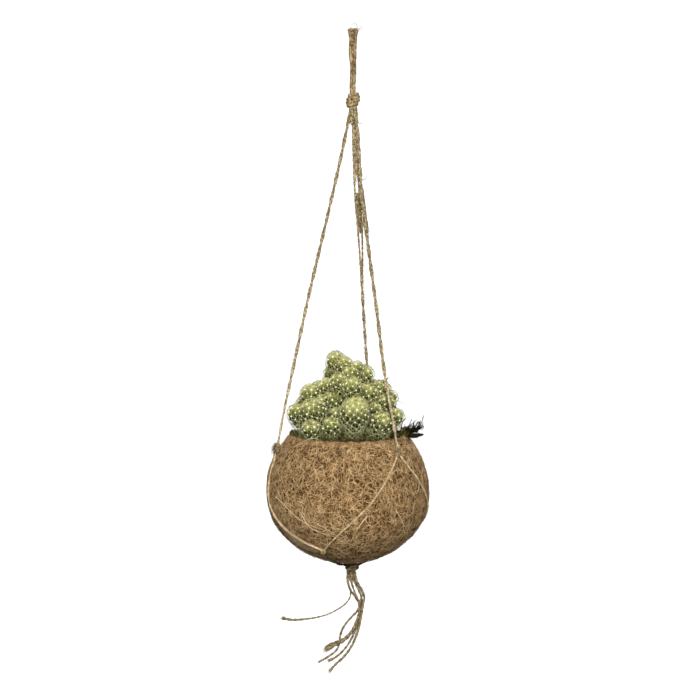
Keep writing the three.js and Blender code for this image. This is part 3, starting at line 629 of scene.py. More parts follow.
def wound(centre, half, turns, strand, slant, seed, phase=0.0, bundled=False):
    """A knot: slanting coils of twine round a core, and one more turn that passes over them"""
    centre = np.array(centre, dtype=float)
    side = np.array(half, dtype=float) - strand
    t = np.linspace(0, 1, int(30 * turns))
    wind = phase + t * TURN * turns
    level = 1 - 2 * t
    coil = polar(np.sqrt(1 - (0.82 * level) ** 2), wind, 0.9 * level) * side
    coil[:, 2] += slant * coil[:, 0]
    if bundled:
        lines = [(centre + coil, strand * (1 + 0.06 * np.sin(wind * 1.7 + seed)))]
    else:
        turn = np.linspace(0, TURN, 40)
        ring = np.stack([np.cos(turn), np.sin(turn) * 0.8, 0.55 * np.sin(turn) + 0.25], axis=-1)
        lines = plied(centre + coil, strand, pitch=7 * strand, phase=seed)
        lines += plied(centre + ring * side, strand * 0.9, pitch=7 * strand)
    level = np.linspace(-0.97, 0.97, 12)
    core = np.stack([0 * level, 0 * level, level * half[2] * 1.05], axis=-1)
    lines.append((centre + core, np.sqrt(1 - level**2) * side[:2].mean()))
    return lines


TOP_KNOT = np.array((0.0, 0.0, -66.7))
twine = dyed("jute_twine", [(50, 38, 21), (130, 111, 78), (192, 174, 138)], 2.2, relief=0.8)
coils = wound(TOP_KNOT, (7.0, 5.8, 8.2), 3.8, 2.05, 0.4, 1.0, 2.6, True)
of_twine("top_knot_coils", coils, twine, "top_knot")

# Three legs of two strands each, turned round each other, run down from the top knot to the rim of
# the ball: one at the left, one at the right in front and one behind. A row is how far to the right,
# the share of the depth at the rim, and the height.
SHOULDER_LATITUDE = 32.0
SHOULDER_HALF = (3.5, 3.5, 5.2)
shoulders = {"right": -47.0, "back": 73.0, "left": 193.0}
shoulder_out = SHOULDER_HALF[0] + GAP + BALL_LUMP / 2
shoulder_at = {side: ball_at(angle, SHOULDER_LATITUDE, shoulder_out) for side, angle in shoulders.items()}
leg_routes = {
    "left": [
        (-2.1, 0.06, -70), (-2.6, 0.08, -78), (-4.8, 0.12, -89), (-14.8, 0.24, -136),
        (-27.8, 0.4, -192), (-40.7, 0.58, -247), (-52.8, 0.75, -303), (-64.2, 0.92, -357),
    ],
    "right": [
        (2.1, 0.02, -70), (2.6, 0.025, -78), (4, 0.05, -92), (7.9, 0.2, -150),
        (14.4, 0.38, -205), (21.8, 0.57, -261), (28.7, 0.77, -316), (35.6, 0.92, -355),
    ],
    "back": [
        (0, 0.035, -70), (0, 0.045, -78), (0.2, 0.075, -92), (2.4, 0.2, -150),
        (6.5, 0.37, -205), (9.7, 0.55, -261), (13.2, 0.75, -316), (15.2, 0.92, -358),
    ],
}
leg_strands = {"left": 1.08, "right": 1.15, "back": 1.02}
# Rows of heights and what holds there: how much thicker the legs are, how pale, how far parted
LEG_THICKER = ([-350, -325, -118, -92, -75], [-0.25, 0, 0, 0.05, 0.2])
LEG_PALER = ([-360, -335, -290, -200, -70], [0.85, 0.85, 0.6, 0.5, 0.5])
BACK_PARTED = ([-240, -226, -186, -160, -107, -88, -76], [0, 1.2, 3.4, 3.5, 2.5, 1.5, 0.4])


def side_by_side(path, strand, pitch, phase=0.0, parted=0.0):
    """Two twines turned round each other along a path, and the middle line of each. Where they are
    parted, they lie still and the second is that far to the right."""
    across, over = sides_of(path)
    wind = phase + TURN * steps_of(path).sum() / pitch * np.linspace(0, 1, len(path))
    away = swung(wind, across, over)
    parted = np.broadcast_to(parted, len(path))[:, None]
    turning = 1 - np.clip(parted / 1.5, 0, 1)
    lines = []
    middles = []
    for way, shift in ((-1, -0.2), (1, 1.0)):
        middle = path + way * 0.65 * np.reshape(strand, (-1, 1)) * away * turning
        middle = middle + shift * parted * (1.0, 0.0, 0.0)
        middles.append(middle)
        lines += plied(middle, strand, phase=phase + way)
    return lines, middles


leg_colours = [(30, 24, 14), (122, 107, 76), (226, 208, 172)]
leg_twine = dyed("jute_leg", leg_colours, 2.2, by_shade=0.3, relief=0.8)
leg_paths = {}
leg_middles = {}
for number, (side, route) in enumerate(leg_routes.items()):
    depth = shoulder_at[side][1]
    path = smooth([(x, share * depth, z) for x, share, z in route] + [tuple(shoulder_at[side])])
    strand = leg_strands[side] + np.interp(path[:, 2], *LEG_THICKER)
    parted = np.interp(path[:, 2], *BACK_PARTED) if side == "back" else 0.0
    lines, middles = side_by_side(path, strand, 36, number * 0.9, parted)
    leg_paths[side] = path
    leg_middles[side] = middles
    of_twine(f"leg_{side}", lines, leg_twine, f"hanger_leg_{side}", paler=LEG_PALER)
    for i, middle in enumerate(middles):
        strays.append(fuzz(middle, leg_strands[side], 1.3, 100 + 10 * number + i, 2.6))
wisps = [
    shared_wisps(["left", "back", "right"], -70, -86, 120, 7, leg_paths),
    shared_wisps([0, 1], -90, -140, 60, 11, leg_middles["back"]),
    shared_wisps([0, 1], -152, -188, 80, 10, leg_middles["back"], 0.4),
    shared_wisps([0, 1], -148, -190, 110, 12, leg_middles["right"], 1.0),
]
wisps = np.concatenate(wisps)
thick = seeded(8).uniform(0.3, 0.55, len(wisps))
placed_as(hairs("leg_wisps", wisps, thick, 9, tip=0.6), leg_twine, "twine")

# The net: under each shoulder knot the two strands part and run over the ball to the lower knots,
# where strands from neighbouring shoulders meet. From there they gather in the bottom knot. A row is
# where a strand comes from and goes to, what is added to its first angle so that it takes the short
# way round, and how late it leaves its shoulder's side.
LOWER_HALF = (3.6, 3.6, 3.4)
BOTTOM_KNOT = np.array((-0.6, 0.0, -498.8))
lowers = {"front": (-113.0, -43.0), "right": (14.0, -37.7), "back": (133.0, -46.2)}
net_strands = [
    ("left", "front", -360.0, 3.5),
    ("left", "back", 0.0, 1.0),
    ("right", "front", 0.0, 1.0),
    ("right", "right", 0.0, 1.0),
    ("back", "right", 0.0, 1.0),
    ("back", "back", 0.0, 1.0),
]
pale_twine = dyed("jute_pale", [(108, 88, 58), (172, 148, 110), (212, 190, 152)], 2.6, relief=0.5)
dark_jute = dyed("jute_dark", [(58, 48, 32), (104, 90, 64), (154, 140, 108)], 4, by_shade=0.6)
net_paths = []
for number, (shoulder, lower, turned, lag) in enumerate(net_strands):
    t = np.linspace(0, 1, 25)
    first = shoulders[shoulder] + turned
    angle = first + (lowers[lower][0] - first) * t**lag
    latitude = SHOULDER_LATITUDE + (lowers[lower][1] - SHOULDER_LATITUDE) * t
    to_knots = 2.5 * np.clip(1 - t / 0.12, 0, 1) + 0.8 * np.clip(1 - (1 - t) / 0.12, 0, 1)
    path = smooth(ball_at(angle, latitude, 0.95 + BALL_LUMP / 2 + to_knots))
    name = f"{shoulder}_{lower}"
    of_twine(f"net_{name}", plied(path, 0.95, phase=number), pale_twine, f"net_strand_{name}")
    net_paths.append(path)
    strays.append(fuzz(path, 0.95, 0.7, 140 + number, 2.4))
for number, (side, centre) in enumerate(shoulder_at.items()):
    half = np.array(SHOULDER_HALF) * (0.98 if side == "left" else 0.76)
    coils = wound(centre, half, 3.2, 0.85, 0.25, 160 + number)
    of_twine(f"knot_shoulder_{side}", coils, twine, f"shoulder_knot_{side}")
for number, (side, (angle, latitude)) in enumerate(lowers.items()):
    centre = ball_at(angle, latitude, LOWER_HALF[0] - 0.6)
    coils = wound(centre, np.array(LOWER_HALF) * 0.8, 2.3, 0.85, 0.3, 170 + number)
    of_twine(f"knot_lower_{side}", coils, twine, f"lower_knot_{side}")
    under = [ball_at(angle, latitude + (-80 - latitude) * t, 1.6) for t in (0, 0.15, 0.35, 0.55, 0.75)]
    lines, middles = side_by_side(smooth(under + [BOTTOM_KNOT]), 0.85, 30, number)
    of_twine(f"gather_{side}", lines, dark_jute, f"gather_strand_{side}")
    strays += [fuzz(middle, 0.85, 0.7, 180 + 10 * number + i, 2.4) for i, middle in enumerate(middles)]
coils = wound(BOTTOM_KNOT, (7.0, 6.4, 4.6), 2.4, 1.7, 0.15, 190, 1.0, True)
of_twine("bottom_knot_coils", coils, twine, "bottom_knot")

# The left strand has come open over its lower half: its plies have parted, and lie on the coir as a
# flat band of jute that narrows again at the lower knot.
BAND_FIBRES = 330
BAND_STEPS = 18
BAND_WIDE = ([0.3, 0.5, 0.65, 0.8, 0.93, 1], [0.8, 4.0, 8.0, 11.0, 9.0, 2.0])
chance = seeded(195)
flat_strand = evenly(net_paths[0], 400)
curves = []
for _ in range(BAND_FIBRES):
    begin = chance.uniform(0.3, 0.8)
    share = np.linspace(begin, min(begin + chance.uniform(0.25, 0.55), 0.985), BAND_STEPS)
    at = flat_strand[(share * 399).astype(int)]
    sideways = unit(np.cross(ahead_of(at), onto_ball(at, 0.0)[1]))
    offset = chance.uniform(-0.12, 1) * np.interp(share, *BAND_WIDE)
    offset = offset + 0.3 * np.sin(share * 40 + chance.random() * 6)
    curves.append(onto_ball(at + sideways * offset[:, None], chance.uniform(0.7, 1.5))[0])
band = hairs("net_left_band", np.array(curves), chance.uniform(0.25, 0.5, BAND_FIBRES), 196, tip=0.7)
open_jute = dyed("jute_open", [(104, 84, 60), (160, 137, 106), (200, 178, 146)], 3.2, by_shade=0.5)
placed_as(band, open_jute, "twine")

# Jute is never clean: short hairs stand off every strand and knot, and the left shoulder knot ends in
# a dark tuft where the twine was cut.
TUFT_HAIRS = 130
KNOT_HAIRS = 36
chance = seeded(201)
way = unit(chance.normal(size=(TUFT_HAIRS, 3)) * 0.5 + (-1.0, -0.2, -0.45))
reach = chance.uniform(2, 6.5, TUFT_HAIRS)[:, None]
root = shoulder_at["left"] + chance.normal(size=(TUFT_HAIRS, 3)) * (1.4, 1.2, 2.0)
tip = root + way * reach + chance.normal(size=(TUFT_HAIRS, 3)) * 0.7
middle = root + way * reach * 0.5 + chance.normal(size=(TUFT_HAIRS, 3)) * 0.4
thick = chance.uniform(0.14, 0.3, TUFT_HAIRS)
placed_as(hairs("knot_left_tuft", bowed(root, middle, tip, 4), thick, 203), dark_jute, "twine")
tufted = [(shoulder_at["right"], 4.0), (BOTTOM_KNOT, 6.5), (TOP_KNOT, 6.2), (np.array((0, 0, -1.5)), 3.5)]
for centre, spread in tufted:
    way = unit(chance.normal(size=(KNOT_HAIRS, 3)))
    root = centre + way * spread * 0.7
    reach = chance.uniform(1.0, 3.6, KNOT_HAIRS)[:, None]
    middle = root + way * reach * 0.5
    curl = unit(way + chance.normal(size=(KNOT_HAIRS, 3)) * 0.8)
    strays.append((root, middle, middle + curl * reach * 0.5))

# A few long fibres curl away from the twine: the leg or end each stands on, the height of its root,
# how its middle and its tip lie from there, and how thick it is.
crest_end = np.array([(4.0, 0.0, -1.5)])
left_leg, right_leg, back_leg = (leg_paths[side] for side in ("left", "right", "back"))
long_strays = [
    (crest_end, -1.5, (0.5, 0, 9.5), (-7.9, 0, 3.4), 0.22),
    (crest_end, -1.5, (2.6, 0, 0.9), (4.2, 0, 3.6), 0.3),
    (crest_end, -1.5, (5.5, 0, -1.0), (6.8, 0, 4.7), 0.2),
    (crest_end, -1.5, (-2.4, 0, 1.5), (-0.4, 0, 6.6), 0.2),
    (right_leg, -139.5, (3.8, -1, -2.0), (5.4, -1, 2.8), 0.36),
    (right_leg, -338, (8.5, -2, -0.5), (15.5, -3, -6.5), 0.28),
    (right_leg, -331, (5.0, -2, 1.0), (8.5, -3, -0.5), 0.2),
    (right_leg, -322, (1.6, -1, 1.2), (2.4, -1.5, 3.2), 0.6),
    (right_leg, -353, (-3.0, -1, 2.5), (-4.4, -1, 5.5), 0.2),
    (left_leg, -304, (-3.2, -1, -1.5), (-4.0, -1, -4.5), 0.24),
    (left_leg, -296, (-3.0, -1, 1.0), (-4.4, -1, 0.4), 0.24),
    (back_leg, -302, (-2.0, 0, 0.6), (-3.0, 0, 2.0), 0.4),
    (back_leg, -250, (2.2, 0, 1.0), (2.8, 0, 3.0), 0.3),
    (right_leg, -88, (2.8, -1, 1.0), (4.6, -1, -0.8), 0.4),
]
twines, levels, bends, ends, thick = zip(*long_strays)
root = np.array([path[np.argmin(np.abs(path[:, 2] - level))] for path, level in zip(twines, levels)])
thick = np.array(thick)
curves = bowed(root, root + bends, root + ends, 12)
placed_as(hairs("twine_curls", curves, thick * 1.2, 204, 0 * thick, 0.5), dark_jute, "twine")
root, middle, tip = (np.vstack(part) for part in zip(*strays))
loose = hairs("twine_hairs", bowed(root, middle, tip, 5), chance.uniform(0.07, 0.15, len(root)), 202)
placed_as(loose, twine_hair, "twine")

# The cactus is one old plant that has branched into a mound of small heads. The old stem and three
# branches are hidden in the middle, corky and dark.
STEM_FOOT = np.array((-6.0, 0.0, SOIL_TOP))
STEM_TOP = np.array((-15.7, 8.0, -308.3))
STEM_NECK = 5.0
STEM_SPREAD = 19.0
BRANCH_FOOT = np.array((-6.0, 0.0, -358.0))
BRANCH_RADIUS = 6.0
CORK_SHARE = 0.97
branch_tips = np.array([(9.0, 8.0, -331.0), (-35.0, 2.0, -349.0), (26.0, 2.0, -348.0)])
stem_path = smooth([STEM_FOOT, STEM_FOOT * 0.5 + STEM_TOP * 0.5, STEM_TOP], 1.2)
share = np.linspace(0, 1, len(stem_path))
ridges = 1 + 0.03 * np.sin(share * 60)
stem_lines = [(stem_path, (STEM_NECK + STEM_SPREAD * (1 - share)) * CORK_SHARE * ridges)]
for tip in branch_tips:
    path = smooth([BRANCH_FOOT, BRANCH_FOOT * 0.5 + tip * 0.5, tip], 1.2)
    ends = np.linspace(-1, 1, len(path))
    stem_lines.append((path, BRANCH_RADIUS * CORK_SHARE * np.sqrt(1 - 0.9 * np.abs(ends) ** 8)))
cork = dyed("old_stem", [(20, 20, 9), (44, 46, 20), (70, 74, 34)], 3, roughness=0.9, relief=0.8)
placed_as(tubes("old_stem", stem_lines, sides=28), cork, "cactus", "cactus_head_01")

# Each head is a short column with a round crown, pressed against its neighbours and set with little
# cones in a spiral. It is yellow-green at the crown and deep green below. Young heads grow out of
# older ones. A row is where a head shows, its radius, how deep it may sit and its parent's number.
# Each comes in from outside, in front along the line of sight, until it meets what is there already
# or sits as deep as it may. A head that shows behind a leg starts behind it.
BODY_SHARE = 0.93
LEG_REACH = 2.9
NESTLE = 0.95
NESTLE_ON_STEM = 0.96
FUSED = 0.7
CLUMP_REACH = 62
LEG_AT_MIDDLE = 3
VIEW_SLOPE = 0.11
ROOT = np.array((-8.0, 0.0, -480.0))
CONE_REACH = 0.6
CONE_HEIGHT = 0.34
CLUMP_MIDDLE = -346
CLUMP_HALF = 35
front_heads = [
    (-8.3, -313, 8.3, 0, 0), (10.6, -321.3, 8.6, 6, 0), (3.7, -314.8, 5.6, 6, 3),
    (-24, -332.4, 7.6, -2, 0), (-2.8, -321.3, 7.8, 0, 0), (-13, -327.8, 7.8, 0, 0),
    (-39, -339.8, 9.6, -6, 0), (25.9, -336.1, 9.3, -4, 0), (35.2, -342.6, 6, 0, 9),
    (-0.9, -332.4, 8.6, 0, 0), (13.9, -338.9, 8.8, 0, 0), (30.6, -347.3, 7.9, 0, 0),
    (-16.7, -344.5, 9.7, 0, 0), (-27.8, -347.3, 6.5, 0, 14), (-51.6, -357.4, 8.8, -16.5, 0),
    (-37, -354.7, 12.8, 0, 0), (-14.4, -357.4, 6, 0, 0), (20, -353.2, 6, 0, 0),
    (26.9, -365.8, 10.4, 0, 0), (39.4, -360.2, 7.4, -16, 20), (1.4, -357.4, 13.6, 0, 0),
    (-38.5, -371, 8, 0, 0), (-20.4, -369.5, 9, 0, 0), (-7.4, -374.1, 5, 0, 0),
    (13, -375, 5, 0, 0),
]
back_heads = [
    (-5, -320.5, 8.5, 0, 0), (-20, -324, 7.5, 0, 27), (-31, -338.5, 9.5, 0, 0),
    (-14, -336, 9.5, 0, 0), (3, -334.5, 9.5, 0, 0), (21, -338, 10, 0, 0),
    (-43, -352, 10.5, 0, 29), (-25, -352, 11, 0, 0), (-4, -351, 12, 0, 0),
    (16, -353, 11.5, 0, 0), (30.5, -352.5, 9, 0, 36), (-36, -366, 9, 0, 34),
    (-15, -367, 9.5, 0, 35), (6, -368, 9, 0, 36), (25, -368, 9, -18, 36),
]
leg_points = np.vstack([evenly(path, 31) for path in (left_leg, right_leg, back_leg)])


def stem_distance(at):
    """How far points are from the old stem and its branches"""
    lean = STEM_TOP - STEM_FOOT
    share = np.clip((at[:, 2] - STEM_FOOT[2]) / lean[2], 0, 1)
    away = at - (STEM_FOOT + lean * share[:, None])
    away[:, 2] = 0
    out = np.linalg.norm(away, axis=1) - STEM_NECK - STEM_SPREAD * (1 - share)
    slope = (unit(away) @ lean - STEM_SPREAD) / lean[2]
    least = out / np.hypot(1, slope)
    for tip in branch_tips:
        along = tip - BRANCH_FOOT
        part = np.clip((at - BRANCH_FOOT) @ along / (along @ along), 0, 1)
        gap = np.linalg.norm(at - BRANCH_FOOT - part[:, None] * along, axis=1) - BRANCH_RADIUS
        least = np.minimum(least, gap)
    return least


heads = [{"at": STEM_TOP - (0, 0, 1.5), "radius": 9.3 * BODY_SHARE, "node": "cactus_head_01"}]
for number, (x, z, wide, deepest, parent) in enumerate(front_heads + back_heads):
    facing = 1 if number < len(front_heads) else -1
    radius = wide * BODY_SHARE
    depth = np.arange(-CLUMP_REACH, CLUMP_REACH, 0.25) * facing
    at = np.stack([0 * depth + x, depth, z - depth * (VIEW_SLOPE if facing > 0 else 0)], axis=-1)
    room = stem_distance(at) - radius * NESTLE_ON_STEM
    to_legs = np.linalg.norm(at[:, None] - leg_points, axis=2)
    room = np.minimum(room, to_legs.min(axis=1) - LEG_REACH - radius)
    for other, head in enumerate(heads):
        reach = (radius + head["radius"]) * NESTLE * (FUSED if other == parent - 1 else 1)
        room = np.minimum(room, np.linalg.norm(at - head["at"], axis=1) - reach)
    flat = np.hypot(leg_points[:, 0] - x, leg_points[:, 2] - at[:, None, 2])
    crossed = (flat < radius + LEG_REACH) & (leg_points[:, 1] * facing <= -LEG_AT_MIDDLE)
    before = crossed & ((at[:, None, 1] - leg_points[:, 1]) * facing <= 0)
    open_here = room >= GAP
    i = int(np.argmax(open_here & ~before.any(axis=1)))
    while open_here[i + 1] and depth[i] * facing < deepest:
        i += 1
    node = heads[parent - 1]["node"] if parent else f"cactus_head_{number + 2:02d}"
    heads.append({"at": at[i], "radius": radius, "node": node})


def outline_of(radius, rise):
    """A head's outline from its crown to its foot: the length along it, the area so far, how far out
    it is and how far up its axis"""
    t = np.linspace(0, math.pi / 2, 40)
    low = np.linspace(0, 1, 41)[1:]
    foot = np.linspace(0, math.pi / 2, 12)[1:]
    out = radius * np.concatenate([np.sin(t) ** 1.25, 1 - 0.4 * low**1.7, 0.6 * np.cos(foot)])
    up = radius * np.concatenate([rise * np.cos(t), -1.35 * low, -1.35 - 0.3 * np.sin(foot)])
    step = np.hypot(np.diff(out), np.diff(up))
    length = np.concatenate([[0], np.cumsum(step)])
    area = np.concatenate([[0], np.cumsum(step * math.pi * (out[1:] + out[:-1]))])
    return length, area, out, up


def on_head(head, s, turn):
    """Points of a head's smooth outline, and which way is out and which way is down there"""
    length, _, out, up = outline_of(head["radius"], head["rise"])
    courses = (out, up, np.gradient(out, length), np.gradient(up, length))
    reach, along, grow, fall = (np.interp(s, length, course)[..., None] for course in courses)
    axis = head["axis"]
    east = unit(np.cross((0, 0, 1), axis))
    side = swung(turn, east, np.cross(axis, east))
    points = head["at"] + axis * along + side * reach
    return points, unit(side * -fall + axis * grow), unit(side * grow + axis * fall)


def areoles(head):
    """Where the cones of a head are: their length from the crown and their turn, and their spacing"""
    length, area, _, _ = outline_of(head["radius"], head["rise"])
    spacing = 4.5 + 0.07 * head["radius"]
    cell = 0.866 * spacing**2
    i = np.arange(int(area[-1] / cell))
    s = np.interp((i + 0.5) * cell, area, length)
    return s, i * math.pi * (3 - 5**0.5) + head["radius"] * 7, spacing


by_node = {}
for number, head in enumerate(heads):
    head["axis"] = unit(head["at"] - ROOT)
    head["rise"] = {21: 1.36, 16: 0.9}.get(number, 1.04)
    radius = head["radius"]
    around, rows = (80, 60) if radius > 9.5 else (60, 46)
    total = outline_of(radius, head["rise"])[0][-1]
    s = np.repeat(np.linspace(0.01, 0.999, rows) * total, around)
    turn = np.tile(np.arange(around) * TURN / around, rows)
    points, out, _ = on_head(head, s, turn)
    cone_s, cone_turn, spacing = areoles(head)
    tips, _, _ = on_head(head, cone_s, cone_turn)
    apart = np.linalg.norm(points[:, None] - tips[None], axis=2).min(axis=1)
    cone = np.clip(1 - (apart / (spacing * CONE_REACH)) ** 1.4, 0, 1)
    points = points + out * (0.3 + (cone - 1) * CONE_HEIGHT * spacing)[:, None]
    points[:, 2] = np.maximum(points[:, 2], SOIL_TOP)
    crown = np.clip((points - head["at"]) @ head["axis"] / radius, -1, 1)
    # The flesh is painted paler on the higher heads, as painted light from above, and darker between the
    # cones, as painted shade.
    height = np.clip((points[:, 2] - CLUMP_MIDDLE) / CLUMP_HALF, -0.8, 1)
    shade = np.clip(0.27 + 0.5 * crown + 0.2 * cone + 0.16 * height, 0, 1)
    parts = by_node.setdefault(head["node"], [])
    start = sum(len(part[0]) for part in parts)
    parts.append((points, start + wall(rows, around)[:, [0, 3, 2, 1]], shade))
flesh_colours = [(12, 14, 3), (38, 44, 13), (94, 99, 45), (178, 176, 112)]
flesh = dyed("cactus_flesh", flesh_colours, 6, by_shade=0.82, roughness=0.6, gloss=0.06, relief=0.2)
for node, parts in by_node.items():
    points, quads, shade = (np.concatenate(part) for part in zip(*parts))
    placed_as(built(node.replace("cactus_", "flesh_"), points, quads, (), shade), flesh, "cactus", node)

# Every cone ends in a dot of white wool. Spines spread from it like a star, bend down over the flesh
# and cross those of the next, so that a pale lace covers the head. At the crown they are yellow and
# so many that they hide the wool. A dot has the twenty faces of an icosahedron.
SPINES_LOW = 5
SPINES_ON_CROWN = 8
SPINES_MOST = 34
TOP_HEADS = 8
YELLOW_ABOVE = -340
golden = (1 + 5**0.5) / 2
dot_corners = [(-1, golden), (1, golden), (-1, -golden), (1, -golden)]
dot_points = [(a, b, 0) for a, b in dot_corners] + [(0, a, b) for a, b in dot_corners]
dot_points = unit(np.array(dot_points + [(b, 0, a) for a, b in dot_corners], dtype=float))
dot_near = np.linalg.norm(dot_points[:, None] - dot_points[None], axis=2) < 1.1
dot_faces = []
for a in range(12):
    for b in range(a + 1, 12):
        for c in range(b + 1, 12):
            if dot_near[a, b] and dot_near[b, c] and dot_near[a, c]:
                normal = np.cross(dot_points[b] - dot_points[a], dot_points[c] - dot_points[a])
                dot_faces.append((a, b, c) if normal @ dot_points[a] > 0 else (a, c, b))
wool_points = []
spines = {"top": [], "left": [], "middle": [], "right": [], "back": []}
chance = seeded(301)
for number, head in enumerate(heads):
    s, turn, spacing = areoles(head)
    tip, out, down = on_head(head, s, turn)
    near = np.full(len(tip), 99.0)
    for other in heads:
        if other is not head:
            back = np.clip((other["at"] - tip) @ other["axis"], 0, 1.3 * other["radius"])[:, None]
            gap = np.linalg.norm(tip - other["at"] + back * other["axis"], axis=1) - other["radius"]
            near = np.minimum(near, gap)
    crown = (tip - head["at"]) @ head["axis"] / head["radius"]
    seen = (near > -0.5) & (tip[:, 2] > SOIL_TOP + 0.4) & (crown > -1.3)
    tip, out, down, crown = tip[seen] + out[seen] * 0.4, out[seen], down[seen], crown[seen]
    side = np.cross(out, down)
    size = np.interp(crown, [-1.0, -0.5, 0.1, 0.7, 0.95], [0.3, 0.55, 0.82, 0.84, 0.5])
    size = size * chance.uniform(0.7, 1.2, len(tip))
    blob = dot_points[None] * (1 + chance.normal(0, 0.12, (len(tip), 12, 1)))
    wool_points.append((tip[:, None] + size[:, None, None] * (blob + 0.3 * out[:, None])).reshape(-1, 3))
    part = "back" if number > len(front_heads) else "top" if number < TOP_HEADS else None
    if part is None:
        part = "left" if head["at"][0] < -14 else "right" if head["at"][0] > 12 else "middle"
    for spine in range(SPINES_MOST):
        kept = crown > (-2 if spine < SPINES_LOW else 0.0 if spine < SPINES_ON_CROWN else 0.5)
        count = int(kept.sum())
        high = crown[kept][:, None]
        way = spine * TURN / 5 * 1.04 + chance.normal(0, 0.2, count)
        away = swung(way, down[kept], side[kept])
        low = np.clip(0.3 - high, 0, 1)
        long = spacing * chance.uniform(0.6, 1.05, count)[:, None] * (1 + 1.1 * low)
        lift = chance.uniform(0.2, 0.45, count)[:, None] + 0.15 * (high > 0.5)
        middle = tip[kept] + away * long * 0.5 + out[kept] * long * lift
        end = tip[kept] + away * long + out[kept] * long * (lift * 0.5 - 0.2)
        end = end + down[kept] * long * (0.1 + 0.5 * low)
        shade = np.clip(0.75 - 0.75 * np.clip(high[:, 0], 0, 1) + chance.normal(0, 0.12, count), 0, 1)
        shade = shade * (0.5 if head["at"][2] > YELLOW_ABOVE else 1.0)
        thick = chance.uniform(0.07, 0.11, count) * (1.15 + 1.5 * low[:, 0] + 0.15 * (high[:, 0] > 0.5))
        spines[part].append((bowed(tip[kept], middle, end, 4), shade, thick, out[kept]))
wool_points = np.vstack(wool_points)
dots = np.arange(len(wool_points) // 12)[:, None, None]
wool = built("wool_dots", wool_points, (), np.array(dot_faces) + 12 * dots)
white_wool = dyed("white_wool", [(228, 224, 178), (252, 250, 226)], 1.5, roughness=0.95, relief=0.2)
placed_as(wool, white_wool, "cactus")
spine_colours = [(196, 193, 132), (192, 190, 130), (170, 171, 118), (200, 200, 156)]
spine_finish = dyed("spine", spine_colours, 6, by_shade=0.85, roughness=0.6)
for seed, (part, made) in enumerate(spines.items()):
    curves, shade, thick, out = (np.concatenate(kind) for kind in zip(*made))
    lace = hairs(f"spines_{part}", curves, thick, 310 + seed, shade, 0.35, out[:, None])
    placed_as(lace, spine_finish, "cactus")

# Old spines and dry roots have dropped from the heads, and lie curled along the foot of the mound,
# pale over the dark mix.
OLD_SPINES = 1500
MOUND_EDGE = 35
chance = seeded(330)
turn = chance.uniform(0, TURN, OLD_SPINES)
reach = chance.uniform(MOUND_EDGE, 50, OLD_SPINES)
start = polar(reach, turn, SOIL_TOP - 1.0) + (-6, 0, 0)
start[:, 2] += chance.uniform(0, 3.6, OLD_SPINES) - 0.12 * (reach - MOUND_EDGE)
way = unit(chance.normal(size=(OLD_SPINES, 3)) * (1, 1, 0.5)) * chance.uniform(2, 5, OLD_SPINES)[:, None]
end = start + way * 1.3 + chance.normal(size=(OLD_SPINES, 3)) * 1.5
curves = bowed(start, start + way + (0, 0, 1.6), end, 5)
old_spine = dyed("old_spine", [(34, 34, 12), (86, 84, 40), (176, 172, 118)], 5, by_shade=0.8)
placed_as(hairs("old_spines", curves, chance.uniform(0.1, 0.22, OLD_SPINES), 331), old_spine, "cactus")

# Dry moss has caught at the rim: a dark cushion with branchlets that turn up at their ends, larger
# at the right and a little at the left. A tuft is its middle, its half sizes, how many twigs it has,
# how long they are, and where its own row of lucky numbers starts.
MOSS_GENERATOR = 16807
MOSS_MODULUS = 2147483647
CUSHION_LEAVES = 900
FIRST_LEAFY = 5
moss = dyed("dry_moss", [(14, 12, 4), (40, 37, 15), (112, 106, 52)], 3, by_shade=0.75, roughness=0.95)
tufts = {
    "right": ((48.5, -6, -373), (6, 11, 4.6), 13, 15, 77),
    "left": ((-54, -6, -374.8), (3.6, 10, 2.8), 8, 3.5, 31),
}
reaching = [
    [(44, -15, -369), (45.5, -18, -362.5), (47.8, -19, -359.5)],
    [(47, -13, -371), (50, -16, -368), (54.1, -17, -360.7)],
    [(49, -9, -371), (53.4, -11, -366), (58.4, -12, -361.3)],
    [(50, -8, -371), (56, -11, -369), (59.4, -12, -368), (60.7, -12, -363.4)],
    [(52, -9, -370.5), (60, -11, -368.5), (63, -12, -364), (65, -12, -357.7)],
    [(48, -10, -370.5), (53, -12, -370.6), (58.4, -13, -372)],
    [(48, -10, -373), (52, -13, -375.2), (57, -14, -375.6), (63.7, -14, -374.6)],
]
